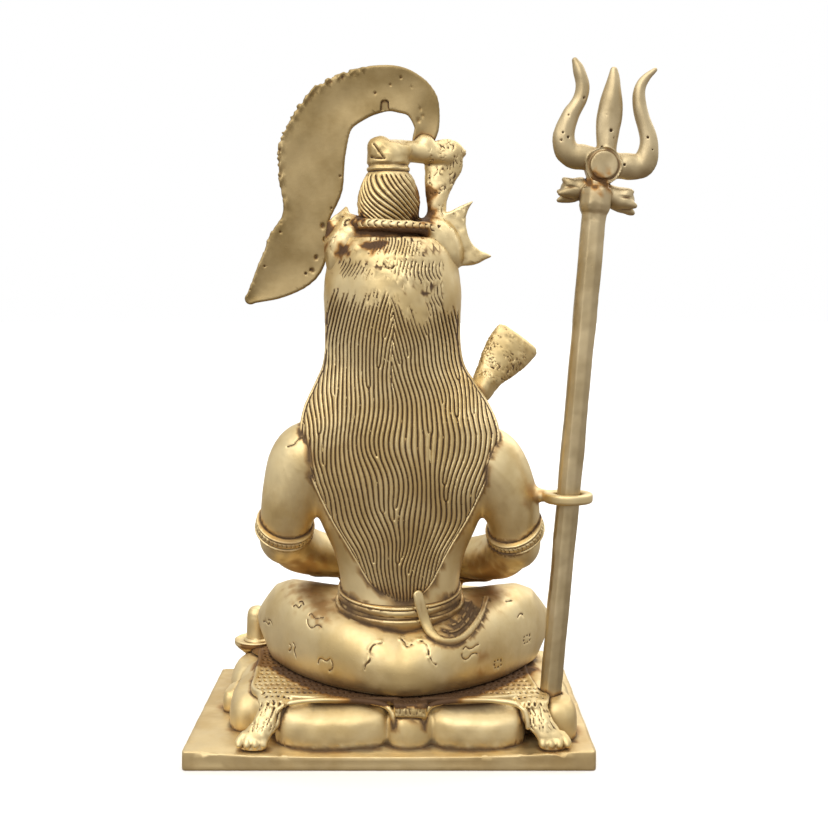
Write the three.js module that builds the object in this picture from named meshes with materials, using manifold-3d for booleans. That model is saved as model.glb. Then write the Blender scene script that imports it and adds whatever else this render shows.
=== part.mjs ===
// A brass figure of Shiva seated in meditation, with a lift-out trident, on a rocky seat under a tiger skin.
// Millimetres, +Z up. The figure faces -Y, and the origin is the centre of the underside of the base plate.
import * as THREE from "three";
import { mergeVertices } from "three/addons/utils/BufferGeometryUtils.js";
import Module from "manifold-3d";

const wasm = await Module();
wasm.setup();

// Base plate
const PLATE_WIDTH = 166;
const PLATE_DEPTH = 110;
const PLATE_THICKNESS = 8;
const PLATE_CORNER = 3;

// Rocky seat on the plate, and the tiger skin over it
const ROCK_HEIGHT = 16;
const ROCK_MARGIN_SIDE = 5;
const ROCK_MARGIN_END = 8;
const SKIN_THICKNESS = 2.2;

// Seated figure: its own height from the seat to the top of the hair knot, and where it sits
const FIGURE_HEIGHT = 227;
const FIGURE_X = -4;

// River stream: a thin brazed plate, and its clearance to the head
const STREAM_THICKNESS = 4.4;
const BRAZE_GAP = 0.3;

// Trident: a loose rod through the arm's ring, with its foot in a socket
const ROD_FOOT_RADIUS = 4.3;
const ROD_TOP_RADIUS = 4.9;
const TRIDENT_LENGTH = 265;
const HEAD_THICKNESS = 6.4;
const SOCKET_DEPTH = 6;
const SOCKET_CLEARANCE = 0.4;
const RING_CLEARANCE = 1.2;
const RING_TUBE = 2.1;
const TRIDENT_FOOT_X = -66.6;
const TRIDENT_FOOT_Y = 29;
const LEAN_SIDE = 4.95;
const LEAN_FRONT = 3.7;

// Worked-out levels
const SEAT_Z = PLATE_THICKNESS + ROCK_HEIGHT + SKIN_THICKNESS;
const UNIT = FIGURE_HEIGHT / 227;
const BRASS = { color: 0xb8a068, roughness: 0.36, metalness: 1 };

// Vector and solid helpers

const vec = (x, y, z) => new THREE.Vector3(x, y, z);

// A point of the figure: across, front to back and above the seat, scaled with the figure's height.
const onFigure = (x, y, z) => vec(FIGURE_X + x * UNIT, y * UNIT, SEAT_Z + z * UNIT);

// A closed three.js geometry as a solid that can be joined and cut.
function solid(geometry) {
  const flat = geometry.index ? geometry.toNonIndexed() : geometry;
  const bare = new THREE.BufferGeometry();
  bare.setAttribute("position", flat.getAttribute("position").clone());
  const merged = mergeVertices(bare, 1e-4);
  const corners = merged.index.array;
  const kept = [];
  for (let i = 0; i < corners.length; i += 3) {
    const [a, b, c] = [corners[i], corners[i + 1], corners[i + 2]];
    if (a !== b && b !== c && c !== a) kept.push(a, b, c);
  }
  return new wasm.Manifold(
    new wasm.Mesh({
      numProp: 3,
      vertProperties: merged.attributes.position.array,
      triVerts: new Uint32Array(kept),
    }),
  );
}

const joined = (solids) => solids.reduce((whole, next) => whole.add(next));

function toMesh(name, manifold) {
  const data = manifold.getMesh();
  const geometry = new THREE.BufferGeometry();
  geometry.setAttribute("position", new THREE.Float32BufferAttribute(data.vertProperties, 3));
  geometry.setIndex([...data.triVerts]);
  geometry.computeVertexNormals();
  const mesh = new THREE.Mesh(geometry, new THREE.MeshStandardMaterial(BRASS));
  mesh.name = name;
  return mesh;
}

// Rings of points with the same count, skinned into one closed body. A closed loop has no end caps.
function skin(rings, loop = false) {
  const sides = rings[0].length;
  const points = rings.flat();
  const index = [];
  const last = loop ? rings.length : rings.length - 1;
  for (let i = 0; i < last; i++) {
    for (let j = 0; j < sides; j++) {
      const a = i * sides + j;
      const b = i * sides + ((j + 1) % sides);
      const c = ((i + 1) % rings.length) * sides + j;
      const d = ((i + 1) % rings.length) * sides + ((j + 1) % sides);
      index.push(a, b, d, a, d, c);
    }
  }
  if (!loop) {
    for (const [ring, flip] of [[0, true], [rings.length - 1, false]]) {
      const middle = rings[ring].reduce((sum, p) => sum.add(p), vec(0, 0, 0)).divideScalar(sides);
      points.push(middle);
      for (let j = 0; j < sides; j++) {
        const edge = [ring * sides + j, ring * sides + ((j + 1) % sides)];
        index.push(...(flip ? edge.reverse() : edge), points.length - 1);
      }
    }
  }
  const geometry = new THREE.BufferGeometry().setFromPoints(points).setIndex(index);
  const made = solid(geometry);
  return made.volume() > 0 ? made : solid(reversed(geometry));
}

function reversed(geometry) {
  const index = [...geometry.index.array];
  for (let i = 0; i < index.length; i += 3) [index[i], index[i + 1]] = [index[i + 1], index[i]];
  return geometry.setIndex(index);
}

// An oval ring of points round a centre, in the plane of two directions.
function oval(centre, across, up, halfAcross, halfUp, sides, squareness = 2) {
  const ring = [];
  for (let j = 0; j < sides; j++) {
    const angle = (2 * Math.PI * j) / sides;
    const [c, s] = [Math.cos(angle), Math.sin(angle)];
    const x = Math.sign(c) * Math.abs(c) ** (2 / squareness) * halfAcross;
    const y = Math.sign(s) * Math.abs(s) ** (2 / squareness) * halfUp;
    ring.push(centre.clone().addScaledVector(across, x).addScaledVector(up, y));
  }
  return ring;
}

// A rounded limb along stations [point, half width, half height]. Its height runs along "side" as nearly as
// the path allows.
function limb(stations, sides = 10, steps = 8, side = vec(0, 0, 1), round = true) {
  const path = new THREE.CatmullRomCurve3(stations.map((s) => s[0]), false, "centripetal");
  const sizes = new THREE.CatmullRomCurve3(
    stations.map((s) => vec(s[1], s[2] ?? s[1], 0)), false, "centripetal");
  const rings = [];
  const addRing = (t, slide, share) => {
    const tangent = path.getTangent(t);
    const across = side.clone().cross(tangent).normalize();
    const up = tangent.clone().cross(across);
    const size = sizes.getPoint(t);
    const centre = path.getPoint(t).addScaledVector(tangent, slide * Math.min(size.x, size.y));
    rings.push(oval(centre, across, up, size.x * share, size.y * share, sides));
  };
  const ends = round ? [[0.8, 0.6]] : [];
  ends.forEach(([slide, share]) => addRing(0, -slide, share));
  for (let i = 0; i <= steps; i++) addRing(i / steps, 0, 1);
  [...ends].reverse().forEach(([slide, share]) => addRing(1, slide, share));
  return skin(rings);
}

// A closed hoop round a centre, tilted about X. Its section is a list of [outward, up] points.
function hoop(centre, radiusX, radiusY, section, tilt, turns) {
  const turn = new THREE.Quaternion().setFromEuler(new THREE.Euler(tilt, 0, 0));
  const rings = [];
  for (let i = 0; i < turns; i++) {
    const angle = (2 * Math.PI * i) / turns;
    const outward = vec(Math.cos(angle), Math.sin(angle), 0);
    rings.push(section.map(([out, up]) =>
      vec(radiusX * outward.x, radiusY * outward.y, up).addScaledVector(outward, out)
        .applyQuaternion(turn).add(centre)));
  }
  return skin(rings, true);
}

// A round section for a hoop.
const roundSection = (radius, sides) => Array.from({ length: sides }, (_, j) => {
  const angle = (2 * Math.PI * j) / sides;
  return [radius * Math.cos(angle), radius * Math.sin(angle)];
});

function ball(centre, rx, ry, rz, across = 12, around = 8) {
  const geometry = new THREE.SphereGeometry(1, across, around);
  geometry.rotateX(Math.PI / 2).scale(rx, ry, rz).translate(centre.x, centre.y, centre.z);
  return solid(geometry);
}

function block(centre, dx, dy, dz) {
  return solid(new THREE.BoxGeometry(dx, dy, dz).translate(centre.x, centre.y, centre.z));
}

// Value of a table of [position, value] pairs, by straight lines between them.
function along(table, position) {
  const at = table.findIndex((row) => row[0] >= position);
  if (at < 0) return table[table.length - 1][1];
  if (at === 0) return table[0][1];
  const [[p0, v0], [p1, v1]] = [table[at - 1], table[at]];
  return v0 + ((v1 - v0) * (position - p0)) / (p1 - p0);
}

// Base: plate, boulders, tiger skin and the small linga, cast as one

const ROCK_HALF_X = PLATE_WIDTH / 2 - ROCK_MARGIN_SIDE;
const ROCK_HALF_Y = PLATE_DEPTH / 2 - ROCK_MARGIN_END;

function plate() {
  const [x, y, r] = [PLATE_WIDTH / 2, PLATE_DEPTH / 2, PLATE_CORNER];
  const outline = new THREE.Shape();
  outline.moveTo(r - x, -y).lineTo(x - r, -y).absarc(x - r, r - y, r, -Math.PI / 2, 0);
  outline.lineTo(x, y - r).absarc(x - r, y - r, r, 0, Math.PI / 2);
  outline.lineTo(r - x, y).absarc(r - x, y - r, r, Math.PI / 2, Math.PI);
  outline.lineTo(-x, r - y).absarc(r - x, r - y, r, Math.PI, 1.5 * Math.PI);
  return solid(new THREE.ExtrudeGeometry(outline, {
    depth: PLATE_THICKNESS, bevelEnabled: false, curveSegments: 2 }));
}

// One boulder of the seat, squared off, from its place on the plate in shares of the seat's half sizes.
function boulder(shareX, shareY, halfX, halfY, height = 1) {
  const top = ROCK_HEIGHT * height;
  const base = vec(shareX * ROCK_HALF_X, shareY * ROCK_HALF_Y, PLATE_THICKNESS - 1);
  const levels = [[0, 0.97], [0.45, 1], [0.8, 0.88], [1, 0.58]];
  return skin(levels.map(([level, share]) =>
    oval(base.clone().add(vec(0, 0, level * (top + 1))), vec(1, 0, 0), vec(0, 1, 0),
      halfX * share, halfY * share, 10, 3)));
}

function boulders() {
  const rows = [
    [0.26, 0.82, 23, 9], [-0.44, 0.82, 20, 9],
    [0.76, 0.3, 11, 21], [-0.86, 0.3, 11, 21],
    [0.84, -0.5, 12, 19], [-0.84, -0.5, 12, 19],
    [0.52, -0.84, 19, 8], [-0.52, -0.84, 19, 8],
  ];
  return rows.map((row) => boulder(...row));
}

// The seat's core, which the boulders stand round.
function core() {
  const levels = [[-1, 0.9], [ROCK_HEIGHT * 0.7, 0.9], [ROCK_HEIGHT, 0.84]];
  return skin(levels.map(([z, share]) =>
    oval(vec(0, 0, PLATE_THICKNESS + z), vec(1, 0, 0), vec(0, 1, 0),
      ROCK_HALF_X * share, ROCK_HALF_Y * share, 20, 3.4)));
}

// The tiger skin's flat part, waisted between its four legs.
function hide() {
  const rings = [0, 0.7, 1].map((level) => {
    const ring = [];
    for (let j = 0; j < 32; j++) {
      const angle = (2 * Math.PI * j) / 32;
      const [c, s] = [Math.cos(angle), Math.sin(angle)];
      const waist = 0.93 - 0.07 * Math.cos(4 * angle) - 0.02 * level ** 3;
      const x = Math.sign(c) * Math.abs(c) ** 0.62 * (ROCK_HALF_X - 8) * waist;
      const y = Math.sign(s) * Math.abs(s) ** 0.62 * (ROCK_HALF_Y - 3) * waist;
      ring.push(vec(x, y, SEAT_Z - SKIN_THICKNESS - 1 + level * (SKIN_THICKNESS + 1)));
    }
    return ring;
  });
  return skin(rings);
}

// A leg of the skin, which hangs over a corner of the rocks and ends in a paw with toes on the plate. It lies
// inset from the corner.
function hideLeg(sideX, sideY, inset) {
  const reach = ROCK_HALF_X - inset;
  const top = vec(sideX * (reach - 6), sideY * (ROCK_HALF_Y - 8), SEAT_Z - 1.6);
  const edge = vec(sideX * (reach - 2), sideY * (ROCK_HALF_Y + 0.5), SEAT_Z - 4);
  const shin = vec(sideX * (reach - 0.5), sideY * (ROCK_HALF_Y + 1.5), PLATE_THICKNESS + 8);
  const foot = vec(sideX * reach, sideY * (ROCK_HALF_Y + 2), PLATE_THICKNESS + 2);
  const leg = limb([[top, 3, 9], [edge, 3, 8], [shin, 3, 5.5], [foot, 4, 6.5]], 6, 4, vec(1, 0, 0));
  // The paws show their toes at the back, and are plain at the front.
  const toes = (sideY > 0 ? [-1, 0, 1] : [0]).map((toe) =>
    ball(foot.clone().add(vec(toe * 4.6, sideY * 1.6, -0.2)), 2.5, 2.9, 2.6, 6, 3));
  return joined([leg, ...toes]);
}

// The skin's tail at the back, and its head at the front.
function hideTail() {
  const y = ROCK_HALF_Y;
  return limb([
    [vec(-8, y - 9, SEAT_Z - 2), 2.4, 7], [vec(-8, y - 1, SEAT_Z - 3.5), 2.6, 5.5],
    [vec(-8, y + 0.4, PLATE_THICKNESS + 9), 2.6, 3.8], [vec(-8, y + 1, PLATE_THICKNESS + 1.5), 2.6, 2.6],
  ], 6, 4, vec(1, 0, 0));
}

function hideHead() {
  const at = vec(0, -ROCK_HALF_Y - 0.5, PLATE_THICKNESS + 9);
  const skull = limb([
    [at.clone().add(vec(0, 7, 7)), 5, 12], [at.clone().add(vec(0, 1, 3)), 5.4, 11],
    [at.clone().add(vec(0, -3, -4)), 4.4, 7],
  ], 8, 4, vec(1, 0, 0));
  const ears = [-1, 1].map((s) => ball(at.clone().add(vec(s * 9.5, 2, 8)), 3, 1.8, 3.2, 6, 4));
  const muzzle = ball(at.clone().add(vec(0, -4.2, -5)), 4.6, 3, 3, 8, 5);
  return joined([skull, ...ears, muzzle]);
}

// Small linga in its round dish, at the figure's left front.
function linga() {
  const foot = PLATE_THICKNESS + ROCK_HEIGHT * 0.42;
  const profile = [
    [0, 0], [6.5, 0], [5.2, 4], [11.6, 10.6], [11.6, 13], [9.6, 13], [9.2, 11.8], [5.8, 11.8],
    [5.6, 25.5], [3.6, 29.4], [0, 30.5],
  ].map(([r, z]) => new THREE.Vector2(r, z));
  const lathe = new THREE.LatheGeometry(profile, 10).rotateX(Math.PI / 2);
  return solid(lathe.translate(ROCK_HALF_X * 0.82, 0.5 - ROCK_HALF_Y * 0.88, foot));
}

function baseSolid() {
  // The left leg at the back lies further in than the others.
  const legs = [[1, 1, 22], [-1, 1, 11], [1, -1, 12], [-1, -1, 12]].map((leg) => hideLeg(...leg));
  const under = block(vec(0, 0, -50), 400, 400, 100);
  const above = block(vec(0, 0, SEAT_Z + 50), 2 * ROCK_HALF_X, 2 * ROCK_HALF_Y, 100);
  const whole = joined([
    plate(), core(), ...boulders(), hide(), ...legs, hideTail(), hideHead(),
  ]);
  return whole.subtract(above).add(linga()).subtract(under);
}

// Trident, in its own frame: the rod's foot at the origin and the rod along +Z

// A flat tapering blade along [across, up, half width] stations, with a ridge down its middle.
function blade(stations, lift) {
  const path = new THREE.CatmullRomCurve3(
    stations.map(([x, z]) => vec(-x, 0, z + lift)), false, "centripetal");
  const widths = new THREE.CatmullRomCurve3(stations.map((s) => vec(s[2], 0, 0)), false, "centripetal");
  const rings = [];
  const steps = 9;
  for (let i = 0; i <= steps; i++) {
    const tangent = path.getTangent(i / steps);
    const across = vec(tangent.z, 0, -tangent.x);
    const half = widths.getPoint(i / steps).x;
    const thick = Math.min(HEAD_THICKNESS / 2, half * 0.9);
    rings.push(oval(path.getPoint(i / steps), across, vec(0, 1, 0), half, thick, 6, 1.8));
  }
  return skin(rings);
}

function tridentSolid() {
  const head = TRIDENT_LENGTH - 42;
  const collar = head - 19;
  const rod = skin([[0, ROD_FOOT_RADIUS], [collar, ROD_TOP_RADIUS], [head - 8, ROD_TOP_RADIUS * 0.8]].map(
    ([z, r]) => oval(vec(0, 0, z), vec(1, 0, 0), vec(0, 1, 0), r, r, 8)));
  const sleeve = skin([[collar - 2, 5.2], [collar + 3, 6.2], [collar + 9, 5.2], [head, 4.6]].map(
    ([z, r]) => oval(vec(0, 0, z), vec(1, 0, 0), vec(0, 1, 0), r, r * 0.85, 8)));
  // The head sits a little to one side of the rod.
  const prongs = [
    [[6, 0, 5.2], [-5, 2.2, 5.2], [-12.2, 3.2, 5.2], [-15.4, 9.5, 4.6], [-13.6, 18.5, 3.5],
      [-10, 26, 2.9], [-9.4, 32, 2.6], [-11.6, 38, 1.9], [-14, 42.4, 0.5]],
    [[0, 0, 5.2], [11, 0.2, 5.4], [18, 1.5, 5.2], [20, 9, 4], [17.6, 17, 3.2], [14.4, 25, 2.9],
      [14, 32, 2.3], [16.5, 37.5, 1.5], [20.4, 41, 0.5]],
    [[3, 0, 4], [2.6, 8, 4.8], [2.5, 15, 5.6], [2.7, 21, 5.6], [2.8, 28, 4.4], [3, 34, 2.8],
      [2.4, 39.8, 0.6]],
  ].map((stations) => blade(stations, head));
  const boss = solid(new THREE.CylinderGeometry(5.8, 5.8, HEAD_THICKNESS + 2.4, 12).translate(-3, 0, head));
  // The hourglass drum tied under the prongs, on the front of the rod.
  const drum = limb([
    [vec(14, -5, head - 13), 5], [vec(7, -5, head - 11), 3.4], [vec(0, -5, head - 10), 2.2],
    [vec(-7, -5, head - 11), 3.6], [vec(-15, -5, head - 13.5), 5.2],
  ], 8, 4, vec(0, 1, 0), false);
  return joined([rod, sleeve, ...prongs, boss, drum]);
}

// Rod's place and lean: its foot in the socket, its top out to the figure's right and forward.
const tridentFoot = vec(TRIDENT_FOOT_X, TRIDENT_FOOT_Y, SEAT_Z - SOCKET_DEPTH);
const tridentLean = new THREE.Euler(
  THREE.MathUtils.degToRad(LEAN_FRONT), THREE.MathUtils.degToRad(-LEAN_SIDE), 0);
const tridentPlace = new THREE.Matrix4().compose(
  tridentFoot, new THREE.Quaternion().setFromEuler(tridentLean), vec(1, 1, 1));
const onRod = (distance) => vec(0, 0, distance).applyMatrix4(tridentPlace);

// The rod with a clearance all round, which cuts the socket.
function socketCutter() {
  const reach = SOCKET_DEPTH * 3;
  const radius = ROD_FOOT_RADIUS + SOCKET_CLEARANCE;
  const rings = [-SOCKET_CLEARANCE, reach].map((z) => oval(vec(0, 0, z), vec(1, 0, 0), vec(0, 1, 0),
    radius * 1.04, radius * 1.04, 8).map((p) => p.applyMatrix4(tridentPlace)));
  return skin(rings);
}

// Figure

// Crossed legs under the loincloth: sections from the left knee to the right knee. Their rounded underside
// reaches below the seat, which cuts it off flat.
function lap() {
  const reach = 67;
  const top = [[0, 28], [12, 31], [24, 33.5], [50, 34], [58, 31.5], [67, 22]];
  const under = [[0, 12], [45, 11], [58, 6], [67, -6]];
  const rings = [];
  for (let i = 0; i <= 13; i++) {
    const s = reach * Math.sin(((i / 13) * 2 - 1) * (Math.PI / 2) * 0.99);
    const size = Math.abs(s);
    const back = 44 - 0.0142 * s * s;
    const front = -31 - 0.0015 * s * s;
    const end = Math.sqrt(1 - (size / reach) ** 12);
    const sink = along(under, size);
    const crest = along(top, size) - s * 0.02;
    const half = ((crest + sink) / 2) * end;
    const middle = (crest - sink) / 2;
    rings.push(oval(onFigure(-s - 1.5, (back + front) / 2, middle), vec(0, 1, 0), vec(0, 0, 1),
      ((back - front) / 2) * end * UNIT, half * UNIT, 14, 2.3));
  }
  return skin(rings);
}

// Torso sections: [height, half width, half depth, centre front to back].
function torso() {
  const sections = [
    [20, 27, 18, 15], [33, 27, 17, 15], [40, 26, 16.5, 15], [53, 28, 17, 14.5], [67, 33, 18, 14],
    [80, 38, 18.5, 13.5], [92, 41, 18, 13.5], [102, 38, 16, 13], [110, 30, 14, 12.5],
    [118, 19, 13, 12], [138, 14, 12.5, 9],
  ];
  return skin(sections.map(([z, half, deep, y]) =>
    oval(onFigure(0, y, z), vec(1, 0, 0), vec(0, 1, 0), half * UNIT, deep * UNIT, 16, 2.2)));
}

// An arm from the shoulder, bent at the elbow, to the wrist in the lap. side is 1 for the figure's left, and
// the right arm hangs a little lower.
function arm(side) {
  const drop = side > 0 ? 0 : 2.5;
  const spot = (x, y, z) => onFigure(side * x, y, z);
  const upper = limb([
    [spot(39 - drop / 2, 13, 94 - drop), 14.5 * UNIT], [spot(44.5, 13.5, 81 - drop), 12.8 * UNIT],
    [spot(48, 12.5, 67), 11 * UNIT], [spot(48.8, 9, 59 - drop), 10.6 * UNIT],
  ], 8, 3, vec(0, 1, 0));
  const fore = limb([
    [spot(48.3, 7, 58.5 - drop), 10.2 * UNIT], [spot(42, -5, 52 - drop), 9.3 * UNIT],
    [spot(27, -21, 44), 7.6 * UNIT], [spot(12, -27, 41), 6 * UNIT],
  ], 7, 3);
  const band = limb([[spot(48.2, 12.8, 67), 12.6 * UNIT], [spot(49, 11.4, 61.5), 12.6 * UNIT]],
    9, 1, vec(0, 1, 0), false);
  return joined([upper, fore, band]);
}

// A hand lying palm up in the lap, its fingers towards the other side.
function hand(side, lift) {
  const palm = ball(onFigure(side * 5, -28.5, 40 + lift), 9.5 * UNIT, 7 * UNIT, 4.2 * UNIT, 8, 5);
  const fingers = limb([
    [onFigure(side * 2, -28.5, 41 + lift), 6.4 * UNIT, 2.2 * UNIT],
    [onFigure(side * -12, -28.8, 42.4 + lift), 5.8 * UNIT, 1.8 * UNIT],
  ], 8, 1);
  const thumb = limb([
    [onFigure(side * 8, -23.5, 41 + lift), 2.1 * UNIT], [onFigure(side * 2, -22.5, 45 + lift), 1.9 * UNIT],
  ], 4, 1, vec(0, 1, 0), false);
  return joined([palm, fingers, thumb]);
}

// A shin from the knee, crossing in front, to the foot that lies sole up on the other thigh.
function shin(side, lift) {
  const spot = (x, y, z) => onFigure(side * x, y, z + lift);
  return limb([
    [spot(50, -19, 14), 11 * UNIT], [spot(32, -31, 13), 10 * UNIT], [spot(8, -35, 17), 8 * UNIT],
    [spot(-12, -31, 25), 6.5 * UNIT], [spot(-24, -24, 31), 6 * UNIT, 5 * UNIT],
    [spot(-37, -17, 33), 6.8 * UNIT, 3.5 * UNIT],
  ], 7, 6);
}

// The head sits a little to the figure's left of the body's middle.
const HEAD_SHIFT = 3;
const onHead = (x, y, z) => onFigure(HEAD_SHIFT + x, y, z);

// Long hair down the back, from the crown to the pointed tip. Rows are
// [height, half width, back, forward drop at the edges, side shift], and its grooves part the locks.
function longHair() {
  const rows = [
    [186, 20, 25, 16, 3], [179, 25.5, 31, 21, 3], [169, 28, 34, 25, 3], [157, 28.3, 35, 25, 3],
    [143, 28.3, 35, 24, 3], [133, 29.5, 34.5, 22, 2.6], [126, 33, 34.5, 20, 2], [116, 38.4, 35, 17, 1],
    [107, 41, 36, 14, 0], [98, 40.5, 36.5, 12, 0], [86, 36, 36.5, 9.5, 0], [72, 29, 35.5, 7, 0],
    [58, 19.6, 34.2, 3.6, 0], [45, 10.5, 33, 1.8, -0.4], [38, 3.5, 32, 0.5, -1],
  ];
  const locks = 9;
  const rings = rows.map(([z, half, back, drop, shift]) => {
    const ring = [];
    const carve = Math.min(1, half / 25);
    for (let j = 0; j <= locks * 2; j++) {
      const t = j / locks - 1;
      const groove = j % 2 ? 0 : carve;
      ring.push(onFigure(shift + t * half, back - drop * Math.abs(t) ** 2.4 - groove, z));
    }
    for (const t of [0.8, -0.8]) {
      ring.push(onFigure(shift + t * half, back - drop - Math.min(6, half * 0.3), z));
    }
    return ring;
  });
  return skin(rings);
}

// The cap of hair round the skull, open at the face.
function hairCap(grow = 0) {
  const cap = ball(onHead(0, 8, 161), 28.3 * UNIT + grow, 22.5 * UNIT + grow, 27 * UNIT + grow, 14, 9);
  return cap.subtract(block(onHead(0, -25, 158), 90 * UNIT, 36 * UNIT - 2 * grow, 36 * UNIT));
}

// The skull, and a point on the front of it, across and up from its centre and out from its surface.
const SKULL = { y: 3, z: 159, x: 20.5, deep: 23, high: 26 };

function onFace(x, up, out = 0) {
  const spread = (x / SKULL.x) ** 2 + (up / SKULL.high) ** 2;
  return onHead(x, SKULL.y - SKULL.deep * Math.sqrt(1 - spread) - out, SKULL.z + up);
}

function face() {
  const middle = onHead(0, SKULL.y, SKULL.z);
  const skull = ball(middle, SKULL.x * UNIT, SKULL.deep * UNIT, SKULL.high * UNIT, 12, 7);
  const jaw = ball(onHead(0, -4, 144), 14 * UNIT, 13.5 * UNIT, 11 * UNIT, 10, 5);
  const nose = limb([
    [onFace(0, 8, -1), 1.9 * UNIT], [onFace(0, 0, 1), 2.6 * UNIT],
    [onFace(0, -4.5, 1.4), 3.6 * UNIT, 2.4 * UNIT],
  ], 5, 2);
  const brow = (s) => limb([[onFace(s * 3, 8), 1.2 * UNIT], [onFace(s * 13, 9), UNIT]],
    4, 1, vec(0, 0, 1), false);
  const lid = (s) => ball(onFace(s * 8, 3, -1), 4.6 * UNIT, 2.6 * UNIT, 2.2 * UNIT, 6, 4);
  const lip = (up, half) => ball(onFace(0, up, -0.4), half * UNIT, 2 * UNIT, 1.3 * UNIT, 6, 3);
  const mark = ball(onFace(0, 15, 0), 1.4 * UNIT, UNIT, 2.8 * UNIT, 5, 3);
  const ear = (s) => limb([
    [onHead(s * 24.6, -1, 163), 2.6 * UNIT, 3.6 * UNIT], [onHead(s * 25, -1, 155), 2.4 * UNIT, 3 * UNIT],
    [onHead(s * 24.4, -1, 148), 2.2 * UNIT, 2.4 * UNIT],
  ], 4, 2, vec(0, 1, 0));
  return joined([
    skull, jaw, nose, brow(1), brow(-1), lid(1), lid(-1), lip(-11, 5.2), lip(-13.6, 4.2), mark,
    ear(1), ear(-1),
  ]);
}

// The knot of hair on the crown: a bun of slanting locks, a tie and a cap.
function hairKnot() {
  const rows = [
    [180, 12], [190, 12.6], [197, 12.9], [204, 12], [210, 9.4], [212, 9.2], [212.8, 9.9], [215.6, 9.9],
    [216.4, 9.2], [220, 9.3], [224, 7.6], [227, 4],
  ];
  const sides = 16;
  const turnPerRow = 0.3;
  return skin(rows.map(([z, r], i) => {
    const ring = [];
    for (let j = 0; j < sides; j++) {
      const angle = (2 * Math.PI * j) / sides + turnPerRow * Math.min(i, 4);
      const cut = j % 2 === 0 && i < 4 ? r - 0.9 : r;
      ring.push(onHead(1.4 + cut * Math.cos(angle), 6 + cut * Math.sin(angle), z));
    }
    return ring;
  }));
}

// A snake's raised hood from its root to its flared end. Stations are [point, half width].
function hood(stations, thick) {
  return limb(stations.map(([p, half]) => [p, half * UNIT, thick * UNIT]), 6, 5, vec(0, 1, 0));
}

// Two snakes: one coiled round the knot with its hood up at the right, one round the neck with its hood
// over the right shoulder.
function snakes() {
  const coil = hoop(onHead(-0.2, 6, 191.4), 16.4 * UNIT, 16.4 * UNIT, roundSection(2.7 * UNIT, 5), 0.05, 16);
  const knotHood = hood([
    [onHead(-19, 2, 188), 4], [onHead(-19.5, 2, 197), 3.8], [onHead(-20.3, 1, 206), 5],
    [onHead(-23, 0, 216), 8], [onHead(-24, 0, 222), 7.6],
  ], 2.8);
  const link = limb([
    [onHead(-6, 3, 220.5), 3.6 * UNIT], [onHead(-14, 1, 220.5), 3.9 * UNIT],
    [onHead(-24, -2, 220), 3.8 * UNIT],
  ], 6, 2);
  const tailTuft = limb([
    [onHead(15, 6, 190), 3 * UNIT], [onHead(20.5, 5, 196), 3 * UNIT],
    [onHead(23, 4, 188), 4 * UNIT, 3 * UNIT],
  ], 5, 2);
  const neck = hoop(onFigure(1, 9.5, 112), 18 * UNIT, 15 * UNIT, roundSection(3 * UNIT, 5), 0.35, 14);
  const neckTail = limb([
    [onFigure(-18, 8, 114), 3.2 * UNIT], [onFigure(-30, 7, 117), 3.6 * UNIT],
    [onFigure(-37, 6, 123), 4 * UNIT],
  ], 5, 2);
  const neckHood = hood([
    [onFigure(-34, 6, 122), 5], [onFigure(-39, 4, 129.5), 6.2], [onFigure(-44.5, 2, 136.5), 8.3],
    [onFigure(-48.3, 0, 141.6), 10.2], [onFigure(-50, -1, 144), 9.8],
  ], 2.8);
  return [coil, knotHood, link, tailTuft, neck, neckTail, neckHood];
}

// The crescent moon at the right of the knot: a disc with a larger disc cut out of it, horns to the right.
function crescent() {
  const [outer, inner, offset, thick] = [13.2 * UNIT, 14.8 * UNIT, 14.6 * UNIT, 3.6 * UNIT];
  const disc = (radius, x, depth) =>
    solid(new THREE.CylinderGeometry(radius, radius, depth, 20).translate(x, 0, 0));
  const at = onHead(-32, 4, 187.3);
  const moon = disc(outer, 0, thick).subtract(disc(inner, -offset, 2 * thick));
  return moon.rotate([0, 20.9, 0]).translate([at.x, at.y, at.z]);
}

// The goddess's head on the knot, from which the river springs.
function springHead(grow = 0) {
  return ball(onHead(-13.5, 1, 223), 4.8 * UNIT + grow, 4.6 * UNIT + grow, 5.4 * UNIT + grow, 8, 5);
}

// Two belts, the cord that hangs from the hair to the right hip, and a string of beads.
function dress() {
  const tilt = -0.32;
  const twoBelts = [[-2, -5], [2, -4.6], [2.4, -1.2], [0.4, 0.2], [1.4, 1.4], [1.2, 4], [-2, 5]]
    .map(([out, up]) => [out * UNIT, up * UNIT]);
  const belts = hoop(onFigure(0, 15, 32.6), 28 * UNIT, 19 * UNIT, twoBelts, tilt, 16);
  const cord = limb([
    [onFigure(-8, 33.5, 38), 1.9 * UNIT], [onFigure(-12, 36.5, 26), 1.9 * UNIT],
    [onFigure(-18, 40, 18.5), 1.9 * UNIT], [onFigure(-30, 33, 20), 1.9 * UNIT],
    [onFigure(-37, 22, 28), 1.9 * UNIT], [onFigure(-36, 12, 36), 1.9 * UNIT],
  ], 4, 8, vec(0, 0, 1), false);
  const beads = hoop(onFigure(0.5, 6, 99), 21 * UNIT, 13.4 * UNIT, roundSection(2 * UNIT, 4), 0.62, 14);
  return [belts, cord, beads];
}

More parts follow.
